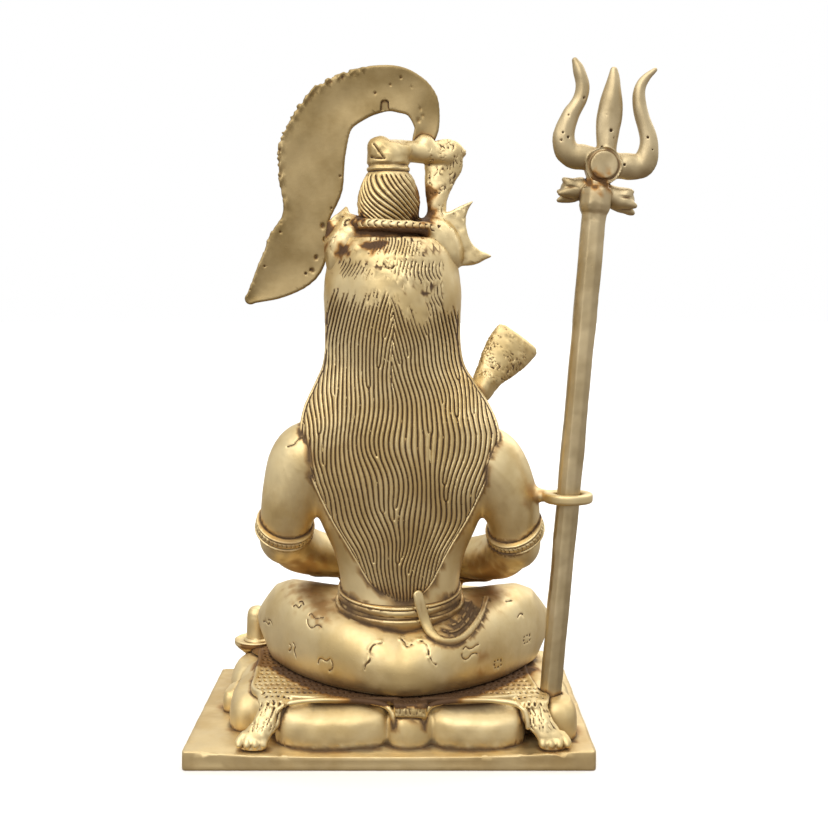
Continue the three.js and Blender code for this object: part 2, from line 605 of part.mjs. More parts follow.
// The ring at the right elbow that holds the rod: it is centred on the rod's axis.
function armRing() {
  const level = onFigure(0, 0, 78.4).z;
  const share = (level - tridentFoot.z) / (onRod(1).z - tridentFoot.z);
  const centre = onRod(share);
  const radius = ROD_TOP_RADIUS + RING_CLEARANCE + RING_TUBE;
  const ring = hoop(centre, radius, radius, roundSection(RING_TUBE, 5), 0, 14);
  const elbow = onFigure(-50, 14, 78.4);
  const rim = centre.clone().addScaledVector(elbow.clone().sub(centre).normalize(), radius);
  const stub = limb([[elbow, 4.2 * UNIT], [rim, RING_TUBE]], 5, 1);
  return joined([ring, stub]);
}

function figureSolid() {
  const floor = block(vec(0, 0, SEAT_Z - 50), 400, 400, 100);
  const parts = [
    lap(), torso(), arm(1), arm(-1), hand(1, 0), hand(-1, 4.4), shin(1, 0), shin(-1, 4),
    longHair(), hairCap(), face(), hairKnot(), ...snakes(), crescent(), springHead(), ...dress(), armRing(),
  ];
  return joined(parts).subtract(floor);
}

// River stream: a thin plate that springs from the goddess's head, arches over the knot and falls at the
// figure's left. Stations are [across, height, half width].
function streamSolid() {
  const stations = [
    [-13.8, 226, 4.6], [-15.2, 232, 5.4], [-13, 240.3, 7.4], [-7, 245.8, 9], [1.8, 247.8, 9.6],
    [14.4, 244.6, 11], [26, 237, 12.8], [32.8, 222, 14.6], [33.4, 207, 13.6], [35.6, 194, 10],
    [38.4, 184, 12.5], [41.8, 176, 13], [50.4, 167.2, 8.8], [59.5, 159.6, 2.4],
  ];
  const place = (x, z) => onFigure(x - FIGURE_X / UNIT, -1, z);
  const path = new THREE.CatmullRomCurve3(stations.map(([x, z]) => place(x, z)), false, "centripetal");
  const widths = new THREE.CatmullRomCurve3(stations.map((s) => vec(s[2], 0, 0)), false, "centripetal");
  const steps = 34;
  const rings = [];
  for (let i = 0; i <= steps; i++) {
    const tangent = path.getTangent(i / steps);
    const across = vec(tangent.z, 0, -tangent.x);
    const half = widths.getPoint(i / steps).x * UNIT;
    const scallop = i > 8 && i % 2 ? 0.9 : 0;
    const centre = path.getPoint(i / steps).add(vec(0, -STREAM_THICKNESS * 0.2, 0));
    const inner = centre.clone().addScaledVector(across, half);
    const outer = centre.clone().addScaledVector(across, scallop - half);
    const [front, back] = [-0.5, 0.5].map((side) => vec(0, side * STREAM_THICKNESS, 0));
    const rim = vec(0, STREAM_THICKNESS * 0.2, 0);
    inner.add(rim);
    outer.add(rim);
    rings.push([
      inner.clone().addScaledVector(back, 0.8), inner.clone().addScaledVector(front, 0.8),
      centre.clone().add(front), outer.clone().addScaledVector(front, 0.8),
      outer.clone().addScaledVector(back, 0.8), centre.clone().add(back),
    ]);
  }
  return skin(rings).subtract(hairCap(BRAZE_GAP)).subtract(springHead(BRAZE_GAP));
}

// Object

const object = new THREE.Group();
object.name = "shiva_figure";
object.add(toMesh("base", baseSolid().subtract(socketCutter())));
object.add(toMesh("figure", figureSolid()));
object.add(toMesh("river_stream", streamSolid()));
const trident = toMesh("trident", tridentSolid());
trident.position.copy(tridentFoot);
trident.rotation.copy(tridentLean);
object.add(trident);

export default object;
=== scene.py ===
# A brass figure of Shiva in meditation, with his trident, on a rocky seat covered by a tiger skin.
# Forms are shaped in millimetres as clay on a grid, and the finished meshes are in metres.
import math
from collections import namedtuple
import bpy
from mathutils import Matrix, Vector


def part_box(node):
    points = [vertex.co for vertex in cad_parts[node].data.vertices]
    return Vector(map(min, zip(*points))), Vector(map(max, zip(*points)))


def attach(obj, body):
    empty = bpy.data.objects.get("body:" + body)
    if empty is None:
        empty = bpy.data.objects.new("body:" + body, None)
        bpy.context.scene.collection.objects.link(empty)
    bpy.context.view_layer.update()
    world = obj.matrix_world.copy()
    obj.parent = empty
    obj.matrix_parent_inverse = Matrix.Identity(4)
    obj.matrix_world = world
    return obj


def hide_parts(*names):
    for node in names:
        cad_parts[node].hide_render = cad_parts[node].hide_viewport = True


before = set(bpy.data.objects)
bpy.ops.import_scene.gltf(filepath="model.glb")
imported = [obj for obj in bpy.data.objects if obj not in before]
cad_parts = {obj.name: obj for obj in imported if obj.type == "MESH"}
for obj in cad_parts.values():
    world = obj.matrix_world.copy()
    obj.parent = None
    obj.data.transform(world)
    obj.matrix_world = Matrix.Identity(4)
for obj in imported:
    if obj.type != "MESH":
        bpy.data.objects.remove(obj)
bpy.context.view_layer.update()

from concurrent.futures import ThreadPoolExecutor

import bpy
import numpy as np
import openvdb

# Sizes in millimetres, from the parts in model.glb
MM = 0.001
_, BASE_HIGH = (np.array(corner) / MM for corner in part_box("base"))
FIGURE_LOW, FIGURE_HIGH = (np.array(corner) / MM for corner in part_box("figure"))
# The figure is shaped to a height of its own above its seat. UNIT is the millimetres in a unit of that
OWN_HEIGHT = 227.0
SEAT = FIGURE_LOW[2]
UNIT = (FIGURE_HIGH[2] - SEAT) / OWN_HEIGHT
# Middle of the figure on the plate, and of its head from the figure's middle
FIGURE_X = -4.0
HEAD_X = 3.0
# Half width, half depth and top of the plate, and half sizes of the rocks on it
PLATE_X = BASE_HIGH[0]
PLATE_Y = 55.0
PLATE_TOP = 8.0
ROCK_X = PLATE_X - 5
ROCK_Y = PLATE_Y - 8
# Where the figure's clay stands in the whole, which is measured from the middle of its seat
ON_FIGURE = {"origin": (FIGURE_X, 0, SEAT), "unit": UNIT}

# Camera of the photograph: an 828 pixel square, with the lens in pixels
PHOTO_SIZE = 828
LENS_PIXELS = 1250.0
CAMERA_AT = (-10.0, 535.7, 192.3)
CAMERA_DOWN = 5.85


# Clay: signed distances in millimetres on a grid, negative inside

# Distance that stands for empty space, and the gentlest slope that a rough distance is corrected by
FAR = 12.0
STEEP = 0.3
Form = namedtuple("Form", "low high distance exact")


def smooth_min(a, b, blend):
    """The smaller of two distances, with a soft step between them."""
    share = np.clip(0.5 + 0.5 * (b - a) / blend, 0, 1)
    return b + (a - b) * share - blend * share * (1 - share)


def smooth_max(a, b, blend):
    return -smooth_min(-a, -b, blend)


class Clay:
    """A block of clay in a frame of its own, to which forms are added, and from which they are cut."""

    def __init__(self, low, high, pitch, origin=(0, 0, 0), unit=1.0, axes=None):
        self.pitch = pitch
        self.origin = np.array(origin, float)
        self.unit = unit
        self.axes = np.eye(3) if axes is None else axes
        self.forms = []
        self.soft = None
        self.low = np.floor(np.array(low, float) / pitch) * pitch
        size = np.ceil((np.array(high) - self.low) / pitch).astype(int) + 1
        self.field = np.full(size, FAR, np.float32)

    def window(self, low, high, margin=0.0):
        """The cells between two corners, and their coordinates as arrays that broadcast."""
        first = np.floor((np.array(low) - margin - self.low) / self.pitch).astype(int)
        last = np.ceil((np.array(high) + margin - self.low) / self.pitch).astype(int) + 1
        first = np.clip(first, 0, self.field.shape)
        last = np.clip(last, 0, self.field.shape)
        cells = tuple(slice(a, b) for a, b in zip(first, last))
        axes = []
        for i in range(3):
            steps = np.arange(first[i], last[i])
            axes.append((self.low[i] + self.pitch * steps).astype(np.float32))
        return cells, np.meshgrid(*axes, indexing="ij", sparse=True)

    def measure(self, form, margin):
        cells, axes = self.window(form.low, form.high, margin + 2 * self.pitch)
        if min(self.field[cells].shape) < 2:
            return cells, FAR
        distance = np.broadcast_to(form.distance(*axes), self.field[cells].shape)
        if not form.exact:
            slope = np.sqrt(sum(part ** 2 for part in np.gradient(distance, self.pitch)))
            distance = distance / np.clip(slope, STEEP, None)
        return cells, distance

    def add(self, form, blend=0.6):
        cells, distance = self.measure(form, blend)
        self.field[cells] = smooth_min(self.field[cells], distance, blend)
        self.forms.append((placed(form, self.origin, self.unit, self.axes), max(blend, 0.6)))

    def cut(self, form, blend=0.4):
        cells, distance = self.measure(form, blend)
        self.field[cells] = smooth_max(self.field[cells], -distance, blend)

    def press(self, low, high, depth):
        """Lower the surface between two corners by a depth that varies from place to place."""
        cells, axes = self.window(low, high)
        self.field[cells] += depth(*axes)

    def sample(self, points, field=None):
        """The field at some points, or another one of its size, by straight lines between the cells."""
        field = self.field if field is None else field
        place = np.clip((points - self.low) / self.pitch, 0, np.array(self.field.shape) - 1.001)
        cell = place.astype(int)
        part = place - cell
        total = 0.0
        for corner in np.ndindex(2, 2, 2):
            weight = np.prod(np.where(corner, part, 1 - part), axis=1)
            total = total + weight * field[tuple((cell + corner).T)]
        return total

    def slope(self, points, reach):
        """The direction in which the field grows fastest, of length one where it is a true distance."""
        parts = []
        for axis in range(3):
            step = np.zeros(3)
            step[axis] = reach
            parts.append((self.sample(points + step) - self.sample(points - step)) / (2 * reach))
        return np.stack(parts, axis=1)


def softened(values, passes):
    """A grid blurred by a short bell curve along each axis."""
    weights = (0.375, 0.25, 0.0625)
    for _ in range(passes):
        for axis in range(3):
            padding = [(2, 2) if i == axis else (0, 0) for i in range(3)]
            wide = np.pad(values, padding, mode="edge")
            size = values.shape[axis]
            parts = []
            for start in range(5):
                cells = [slice(None)] * 3
                cells[axis] = slice(start, start + size)
                parts.append(wide[tuple(cells)])
            values = parts[2] * np.float32(weights[0])
            values += (parts[1] + parts[3]) * np.float32(weights[1])
            values += (parts[0] + parts[4]) * np.float32(weights[2])
    return values


# Forms

# A quarter turn in radians, for rings that face sideways or back
QUARTER_TURN = 1.571


def mirrored(stations, side, lift=0.0):
    """Stations [x, y, z, ...] for one side of the body, 1 for the left and -1 for the right, and lifted."""
    return [[side * x, y, z + lift, *rest] for x, y, z, *rest in stations]


def at_head(stations):
    """Stations [x, y, z, ...] that are given from the middle of the head."""
    return [[HEAD_X + x, y, z, *rest] for x, y, z, *rest in stations]


def half_space(low, high, distance):
    """What lies on one side of a surface, between two corners."""
    return Form(np.array(low, float), np.array(high, float), distance, True)


def spline(stations, per_span=6):
    """Rows between the stations, on a smooth curve through them."""
    rows = np.array(stations, float)
    rows = np.vstack([2 * rows[0] - rows[1], rows, 2 * rows[-1] - rows[-2]])
    t = np.linspace(0, 1, per_span, endpoint=False)[:, None]
    spans = []
    for a, b, c, d in zip(rows, rows[1:], rows[2:], rows[3:]):
        bend = 2 * a - 5 * b + 4 * c - d
        twist = 3 * b - a - 3 * c + d
        spans.append(0.5 * (2 * b + (c - a) * t + bend * t ** 2 + twist * t ** 3))
    return np.vstack(spans + [rows[-2:-1]])


def turned(x, y, z, turn):
    """Coordinates seen from a frame turned about X, then Y, then Z, in radians."""
    for angle, order in zip(reversed(turn), ((2, 0, 1), (1, 2, 0), (0, 1, 2))):
        if angle:
            c, s = math.cos(angle), math.sin(angle)
            parts = [x, y, z]
            a, b = order[1], order[2]
            parts[a], parts[b] = c * parts[a] + s * parts[b], c * parts[b] - s * parts[a]
            x, y, z = parts
    return x, y, z


def ball(centre, radii, turn=(0, 0, 0)):
    """A ball, or an egg of three radii, turned in place."""
    centre = np.array(centre, float)
    radii = np.array(radii, float) * np.ones(3)
    reach = radii.max() if any(turn) else radii

    def distance(x, y, z):
        parts = turned(x - centre[0], y - centre[1], z - centre[2], turn)
        near = np.sqrt(sum((p / r) ** 2 for p, r in zip(parts, radii)))
        far = np.sqrt(sum((p / r ** 2) ** 2 for p, r in zip(parts, radii)))
        return near * (near - 1) / np.maximum(far, 1e-4)

    return Form(centre - reach, centre + reach, distance, True)


def chain(stations, per_span=6, thin=None, power=2.0):
    """A limb through stations [x, y, z, radius], or [x, y, z, radius, half thickness] along thin."""
    rows = spline(stations, per_span)
    points, radii = rows[:, :3], np.maximum(rows[:, 3], 0.05)
    flat = np.maximum(rows[:, 4], 0.05) if thin is not None else radii

    def distance(x, y, z):
        best = np.float32(1e3)
        for i in range(len(points) - 1):
            a, step = points[i], points[i + 1] - points[i]
            dx, dy, dz = x - a[0], y - a[1], z - a[2]
            t = np.clip((dx * step[0] + dy * step[1] + dz * step[2]) / (step @ step), 0, 1)
            dx, dy, dz = dx - t * step[0], dy - t * step[1], dz - t * step[2]
            radius = radii[i] + t * (radii[i + 1] - radii[i])
            square = dx * dx + dy * dy + dz * dz
            if thin is None:
                best = np.minimum(best, np.sqrt(square) - radius)
                continue
            half = flat[i] + t * (flat[i + 1] - flat[i])
            aside = dx * thin[0] + dy * thin[1] + dz * thin[2]
            inplane = np.sqrt(np.maximum(square - aside ** 2, 0)) / radius
            ring = (inplane ** power + np.abs(aside / half) ** power) ** (1 / power)
            best = np.minimum(best, (ring - 1) * radius)
        return best

    low = (points - radii[:, None]).min(0)
    high = (points + radii[:, None]).max(0)
    return Form(low, high, distance, thin is None)


def loft(rows, power=2.2, axis=2):
    """Ovals along an axis: rows of [place, half width, half depth, middle, middle]."""
    dense = spline(rows, 8)
    a, b = [i for i in range(3) if i != axis]
    low, high = np.zeros(3), np.zeros(3)
    low[axis], high[axis] = dense[0, 0], dense[-1, 0]
    for side, half, middle in ((a, 1, 3), (b, 2, 4)):
        low[side] = (dense[:, middle] - dense[:, half]).min()
        high[side] = (dense[:, middle] + dense[:, half]).max()

    def distance(*place):
        at = place[axis]
        half_a, half_b, mid_a, mid_b = (np.interp(at, dense[:, 0], dense[:, i]).astype(np.float32)
                                        for i in range(1, 5))
        ring = (np.abs((place[a] - mid_a) / half_a) ** power
                + np.abs((place[b] - mid_b) / half_b) ** power) ** (1 / power)
        ends = np.maximum(dense[0, 0] - at, at - dense[-1, 0])
        return np.maximum((ring - 1) * np.minimum(half_a, half_b), ends)

    return Form(low, high, distance, False)


def hoop(centre, radius_x, radius_y, section, reach, turn=(0, 0, 0)):
    """A closed ring in a turned plane. section(out, up, angle) is the distance to its cross-section."""
    centre = np.array(centre, float)
    widest = max(radius_x, radius_y) + reach
    size = np.array([radius_x + reach, radius_y + reach, reach])
    size[1:] = np.maximum(size[1:], reach + abs(math.sin(turn[0])) * widest)
    size[[0, 2]] = np.maximum(size[[0, 2]], size[[0, 2]] + abs(math.sin(turn[1])) * widest)

    def distance(x, y, z):
        dx, dy, dz = turned(x - centre[0], y - centre[1], z - centre[2], turn)
        angle = np.arctan2(dy / radius_y, dx / radius_x)
        c, s = np.cos(angle), np.sin(angle)
        out = (dx - radius_x * c) * c + (dy - radius_y * s) * s
        return section(out, dz, angle)

    return Form(centre - size, centre + size, distance, True)


def round_section(radius):
    return lambda out, up, angle: np.sqrt(out ** 2 + up ** 2) - radius


def band_section(out_middle, up_middle, half_out, half_up, rounding):
    """A rounded rectangle as a hoop's cross-section."""
    def section(out, up, angle):
        a = np.abs(out - out_middle) - half_out + rounding
        b = np.abs(up - up_middle) - half_up + rounding
        return np.hypot(np.maximum(a, 0), np.maximum(b, 0)) + np.minimum(np.maximum(a, b), 0) - rounding
    return section


def polygon_distance(x, y, outline):
    """Signed distance in a plane to a closed outline of points."""
    best = np.float32(1e6)
    inside = False
    for (ax, ay), (bx, by) in zip(outline, np.roll(outline, -1, axis=0)):
        ex, ey = bx - ax, by - ay
        t = np.clip(((x - ax) * ex + (y - ay) * ey) / (ex * ex + ey * ey + 1e-9), 0, 1)
        best = np.minimum(best, (x - ax - t * ex) ** 2 + (y - ay - t * ey) ** 2)
        crosses = (ay > y) != (by > y)
        inside = inside ^ (crosses & (x < ax + (y - ay) * ex / (ey if ey else 1e-9)))
    return np.where(inside, -1, 1) * np.sqrt(best)


def rounded(a, b, rounding):
    """Distance to the part inside both a and b, with its edge rounded."""
    a, b = a + rounding, b + rounding
    return np.hypot(np.maximum(a, 0), np.maximum(b, 0)) + np.minimum(np.maximum(a, b), 0) - rounding


def slab(outline, middle, half, rounding, axis=2):
    """An outline given a thickness along an axis, with rounded edges."""
    outline = np.array(outline, float)
    a, b = [i for i in range(3) if i != axis]
    low, high = np.zeros(3), np.zeros(3)
    low[axis], high[axis] = middle - half, middle + half
    low[[a, b]], high[[a, b]] = outline.min(0), outline.max(0)

    def distance(*place):
        flat = polygon_distance(place[a], place[b], outline)
        return rounded(flat, np.abs(place[axis] - middle) - half, rounding)

    return Form(low, high, distance, True)


def lathe(profile, centre):
    """A turned form about Z: its profile is a list of [radius, height] from axis to axis."""
    profile = np.array(profile, float)
    outline = np.vstack([profile, [[-1, profile[-1, 1]], [-1, profile[0, 1]]]])
    centre = np.array(centre, float)
    reach = profile[:, 0].max()

    def distance(x, y, z):
        return polygon_distance(np.hypot(x - centre[0], y - centre[1]), z - centre[2], outline)

    low = centre + [-reach, -reach, profile[:, 1].min()]
    high = centre + [reach, reach, profile[:, 1].max()]
    return Form(low, high, distance, True)


def placed(form, origin, unit, axes):
    """A form moved, scaled and turned from a frame of its own."""
    origin = np.array(origin, float)
    straight = np.array_equal(axes, np.eye(3))

    def distance(x, y, z):
        local = [(p - o) / unit for p, o in zip((x, y, z), origin)]
        if not straight:
            local = [sum(axes[i, j] * local[i] for i in range(3)) for j in range(3)]
        return form.distance(*local) * unit

    ends = np.array([form.low, form.high])
    corners = np.array([ends[pick, (0, 1, 2)] for pick in np.ndindex(2, 2, 2)])
    corners = corners @ axes.T * unit + origin
    return Form(corners.min(0), corners.max(0), distance, form.exact)


def ripple(x, y, z, length, seed):
    """Smooth waves between about -1 and 1, of one length, running every way."""
    random = np.random.default_rng(seed)
    total = 0.0
    waves = 5
    for _ in range(waves):
        way = random.normal(size=3)
        way *= 2 * math.pi / length / np.linalg.norm(way) * random.uniform(0.7, 1.3)
        total = total + np.sin(x * way[0] + y * way[1] + z * way[2] + random.uniform(0, 2 * math.pi))
    return total / math.sqrt(waves)


def waves(*parts):
    """Unevenness of a surface: ripples that are each given as depth, length and seed."""
    return lambda x, y, z: sum(depth * ripple(x, y, z, length, seed) for depth, length, seed in parts)


def step_up(value, start, end):
    """A smooth step from 0 at start to 1 at end."""
    t = np.clip((value - start) / (end - start), 0, 1)
    return t * t * (3 - 2 * t)


def bump(value, middle, half):
    """A bell of height 1 round a middle."""
    return np.exp(-(((value - middle) / half) ** 2))


def groove_profile(phase, pitch, width):
    """1 in the middle of each groove, falling to 0 over its half width."""
    off = (phase - np.round(phase)) * pitch
    return np.exp(-(off / width) ** 2)


def superellipse(half_x, half_y, power, count, centre=(0, 0)):
    """An outline between an oval and a rectangle."""
    angle = np.linspace(0, 2 * math.pi, count, endpoint=False)
    c, s = np.cos(angle), np.sin(angle)
    x = np.sign(c) * np.abs(c) ** (2 / power) * half_x + centre[0]
    y = np.sign(s) * np.abs(s) ** (2 / power) * half_y + centre[1]
    return np.stack([x, y], axis=1)


def drawn(strokes, depth, width, lip=0.0):
    """Depth of lines drawn through points [x, z], each with a raised lip beside it."""
    lines = [spline(stroke, 4) for stroke in strokes]

    def lowered(x, y, z):
        near = np.float32(1e3)
        for line in lines:
            for (ax, az), (bx, bz) in zip(line, line[1:]):
                ex, ez = bx - ax, bz - az
                t = np.clip(((x - ax) * ex + (z - az) * ez) / (ex * ex + ez * ez), 0, 1)
                near = np.minimum(near, (x - ax - t * ex) ** 2 + (z - az - t * ez) ** 2)
        return depth * np.exp(-near / width ** 2) - lip * np.exp(-near / (width * 3) ** 2)

    return lowered


def worm_marks(x, y, z, length, seed):
    """1 along winding lines, as left by a rough casting."""
    return np.exp(-((ripple(x, y, z, length, seed) / 0.26) ** 2))


def rounded_box(half_x, half_y, radius):
    """An outline with round corners."""
    corners = []
    for quarter, (side_x, side_y) in enumerate(((1, 1), (-1, 1), (-1, -1), (1, -1))):
        for angle in np.linspace(0, math.pi / 2, 5) + quarter * math.pi / 2:
            corners.append([side_x * (half_x - radius) + radius * math.cos(angle),
                            side_y * (half_y - radius) + radius * math.sin(angle)])
    return np.array(corners)


# Base, in millimetres of the whole object

# Numbers of small casting pits
PLATE_PITS, STREAM_PITS, TRIDENT_PITS = 16, 30, 26


def make_plate():
    """The plate: its back edge is ground down in the middle, and its top is rough from the mould."""
    clay = Clay((-PLATE_X - 1, -PLATE_Y - 1, -1), (PLATE_X + 1, PLATE_Y + 1, PLATE_TOP + 1), 0.5)
    clay.add(slab(rounded_box(PLATE_X - 0.25, PLATE_Y - 0.25, 1.6), PLATE_TOP / 2, PLATE_TOP / 2, 0.4))

    def worn_top(x, y, z):
        middle = np.clip(1 - np.abs((x - 2) / (PLATE_X - 5)) ** 3, 0, None)
        return PLATE_TOP - 2.3 * middle * step_up(y, PLATE_Y - 9, PLATE_Y) - z

    def roughness(x, y, z):
        waves = 0.07 * (1 + ripple(x, y, z, 21, 3)) + 0.03 * (1 + ripple(x, y, z, 5, 4))
        return waves * step_up(z, 1.0, 2.5)

    top = (PLATE_X + 1, PLATE_Y + 1, PLATE_TOP + 1)
    clay.cut(half_space((-PLATE_X - 1, PLATE_Y - 10, 3), top, worn_top), blend=0.3)
    clay.press((-PLATE_X - 1, -PLATE_Y - 1, 0.5), top, roughness)
    random = np.random.default_rng(5)
    for _ in range(PLATE_PITS):
        size = random.uniform(0.3, 0.6)
        place = (random.uniform(-70, 75), PLATE_Y + 0.1, random.uniform(1, 6.5))
        clay.cut(ball(place, (size * random.uniform(1, 3), 0.5, size)), blend=0.2)
    return clay


def boulder(x, y, half_x, half_y, height):
    """One squared boulder with a rounded top."""
    inset = 0.85 * min(half_x, half_y)
    rows = []
    for level in (-0.3, 0, 0.35, 0.55, 0.7, 0.82, 0.91, 0.97, 1.0):
        share = (1 - max(level, 0) ** 3.8) ** (1 / 2.1)
        inwards = inset * (1 - share)
        rows.append((PLATE_TOP + level * height, half_x - inwards, half_y - inwards, x, y))
    return loft(rows, power=3.0)


# Boulders behind: middle and half width
BACK_BOULDERS = ((22.4, 24.0), (-34.8, 20.6))
# The other boulders: x, y, half width, half depth and height
BOULDERS = (
    (58.5, 14.5, 9.6, 18.5, 15.5), (64.6, -22.0, 8.6, 16.0, 14.6), (69, 0, 4.6, 9, 9),
    (-67.0, 13.0, 10.0, 20.0, 15.0), (-67.0, -23.0, 9.6, 17.0, 15.0), (-69.6, 31, 8.0, 12.5, 15.6),
    (39.0, -39.5, 19.5, 9.6, 14.8), (-39.0, -39.5, 20.0, 9.6, 14.8), (62.0, -39.0, 10, 8, 13),
    (-64.0, -39.0, 10, 8, 13), (0.0, -41.0, 9, 7, 12), (-8.6, 37.4, 11.0, 12.3, 15.4),
)


def upper_edge(low_x, high_x, edge_y, edge_z):
    """What is cut off the upper edge of a boulder behind, in a slope that rises a little along it."""
    def distance(x, y, z):
        tilt = 0.02 * (x - (low_x + high_x) / 2)
        return -((y - edge_y) * 0.5 + (z - edge_z - tilt) * 0.87)

    return half_space((low_x, 38, 14), (high_x, 53, 26), distance)


def make_rocks():
    """Boulders round a core, worn smooth, with a hole for the trident's foot."""
    low, high = (-81, -53, PLATE_TOP - 3), (81, 53, 27)
    clay = Clay(low, high, 0.55)
    core = [(z, ROCK_X * 0.88 * share, ROCK_Y * 0.9 * share, -2, 0)
            for z, share in ((6, 1), (18, 1), (22, 0.97), (24.6, 0.9))]
    clay.add(loft(core, power=3.4))
    for x, half in BACK_BOULDERS:
        clay.add(boulder(x, 38.6, half, 12.0, 15.8), blend=0.8)
    for row in BOULDERS:
        clay.add(boulder(*row), blend=1.1)
    for edge in ((-2, 48, 46.6, 20.4), (-57, -15, 47.2, 19.2)):
        clay.cut(upper_edge(*edge), blend=1.4)
    clay.cut(socket_form(), blend=0.3)

    def rough(x, y, z):
        foot = step_up(-z, -PLATE_TOP - 3, -PLATE_TOP)
        coarse = waves((0.34, 22, 11), (0.11, 9, 12))(x, y, z)
        return coarse + foot * (0.3 + 0.10 * ripple(x, y, z, 2.6, 13))

    clay.press(low, high, rough)
    return clay


# Trident's line: its foot in the socket, leaning out to the side and forward
ROD_FOOT = np.array([-66.6, 29.0, SEAT - 6])
LEAN_SIDE = math.radians(4.95)
LEAN_FRONT = math.radians(3.7)
ROD_FOOT_RADIUS = 4.3
ROD_TOP_RADIUS = 4.9


def rod_axes():
    """Unit vectors of the trident's own frame."""
    cx, sx = math.cos(LEAN_FRONT), math.sin(LEAN_FRONT)
    cy, sy = math.cos(-LEAN_SIDE), math.sin(-LEAN_SIDE)
    about_x = np.array([[1, 0, 0], [0, cx, -sx], [0, sx, cx]])
    about_y = np.array([[cy, 0, sy], [0, 1, 0], [-sy, 0, cy]])
    return about_x @ about_y


def on_rod(distance):
    """A point on the rod's middle line, so far from its foot."""
    return ROD_FOOT + rod_axes() @ np.array([0, 0, distance])


def socket_form():
    """The hole in the rocks and the skin that the trident stands in."""
    low, high = on_rod(-0.6), on_rod(16)
    radius = ROD_FOOT_RADIUS + 0.6
    return chain([[*low, radius], [*high, radius]], 1)


def skin_outline(count=144):
    """The tiger skin's flat part, waisted between its legs."""
    angle = np.linspace(0, 2 * math.pi, count, endpoint=False)
    c, s = np.cos(angle), np.sin(angle)
    waist = 0.92 - 0.07 * np.cos(4 * angle)
    fuller = np.where(s > 0, 0.965 - 0.025 * np.cos(4 * angle), waist)
    x = np.sign(c) * np.abs(c) ** 0.62 * (ROCK_X - 8) * waist
    y = np.sign(s) * np.abs(s) ** 0.62 * (ROCK_Y - 1.5) * fuller
    x = np.where((c > 0) & (s > 0), x - 7 * s, x)
    return np.stack([x, y], axis=1)


# Middle of the flap that hangs between the boulders behind
FLAP_X = -8.6
# Legs of the skin: side across, side along, where its root is, and its number of toes
SKIN_LEGS = ((1, 1, 46.6, 4), (-1, 1, 58.0, 4), (1, -1, 57.0, 3), (-1, -1, 57.0, 4))


def skin_leg(clay, side_x, side_y, root, toes):
    """A leg of the skin, over a corner of the rocks, with a paw on the plate."""
    y = side_y * ROCK_Y
    flat = [[root, y - side_y * 15, SEAT - 2.6, 8.4, 2.5], [root, y - side_y * 8, SEAT - 2.6, 7.2, 2.5]]
    clay.add(chain(mirrored(flat, side_x), 4, thin=(0, 0, 1)), blend=1.0)
    drop = ((0.8, -3.6, SEAT - 6.2, 6.0, 2.6), (2.4, -1.0, SEAT - 8.4, 5.4, 2.7),
            (4.4, 0.8, PLATE_TOP + 7.2, 4.8, 2.7), (6.6, 2.0, PLATE_TOP + 4.2, 5.2, 2.4),
            (7.8, 2.6, PLATE_TOP + 2.4, 5.8, 2.0))
    hanging = [[root + out, y + side_y * back, *rest] for out, back, *rest in drop]
    clay.add(chain(mirrored(hanging, side_x), 7, thin=(0, side_y * 0.9, 0.42)), blend=1.2)
    for i in range(toes):
        share = i - (toes - 1) / 2
        x = side_x * (root + 8.6) + share * 3.1
        back = y + side_y * (4.2 - 0.3 * share ** 2)
        toe = [[x - share * 1.1, y + side_y * 1.0, PLATE_TOP + 4.4, 1.8],
               [x, back - side_y * 0.6, PLATE_TOP + 2.3, 2.0],
               [x + share * 0.2, back + side_y * 0.7, PLATE_TOP + 1.4, 1.4]]
        clay.add(chain(toe, 4), blend=0.3)


def fold_of_skin(middle, half):
    """The rim of the skin where it lies on a boulder at the back."""
    edge = ((1.03, 0.8, 15.5), (1.02, 0.6, 18), (0.95, -0.6, SEAT - 4.0), (0.78, -2.2, SEAT - 2.0),
            (0.4, -3.6, SEAT - 1.1))
    course = [*edge, (0, -4.0, SEAT - 1.0), *mirrored(reversed(edge), -1)]
    return chain([[middle + half * side, ROCK_Y + back, z, 1.15] for side, back, z in course], 5)


# Lines on one side of the tiger's face, as [across, height]: mouth, nose, whiskers and stripes
TIGER_LINES = (
    ((0, -5.0), (1.8, -6.0), (3.8, -6.2)), ((0, -1.8), (1.6, -2.3), (0, -3.9)), ((3.6, -3.4), (4.8, -3.2)),
    ((3.4, -4.6), (4.6, -4.6)), ((2.0, 7.8), (1.5, 5.8)), ((4.6, 8.0), (3.4, 6.6)), ((9.0, 1.4), (7.2, 0.6)),
    ((8.4, -1.0), (6.4, -1.6)),
)


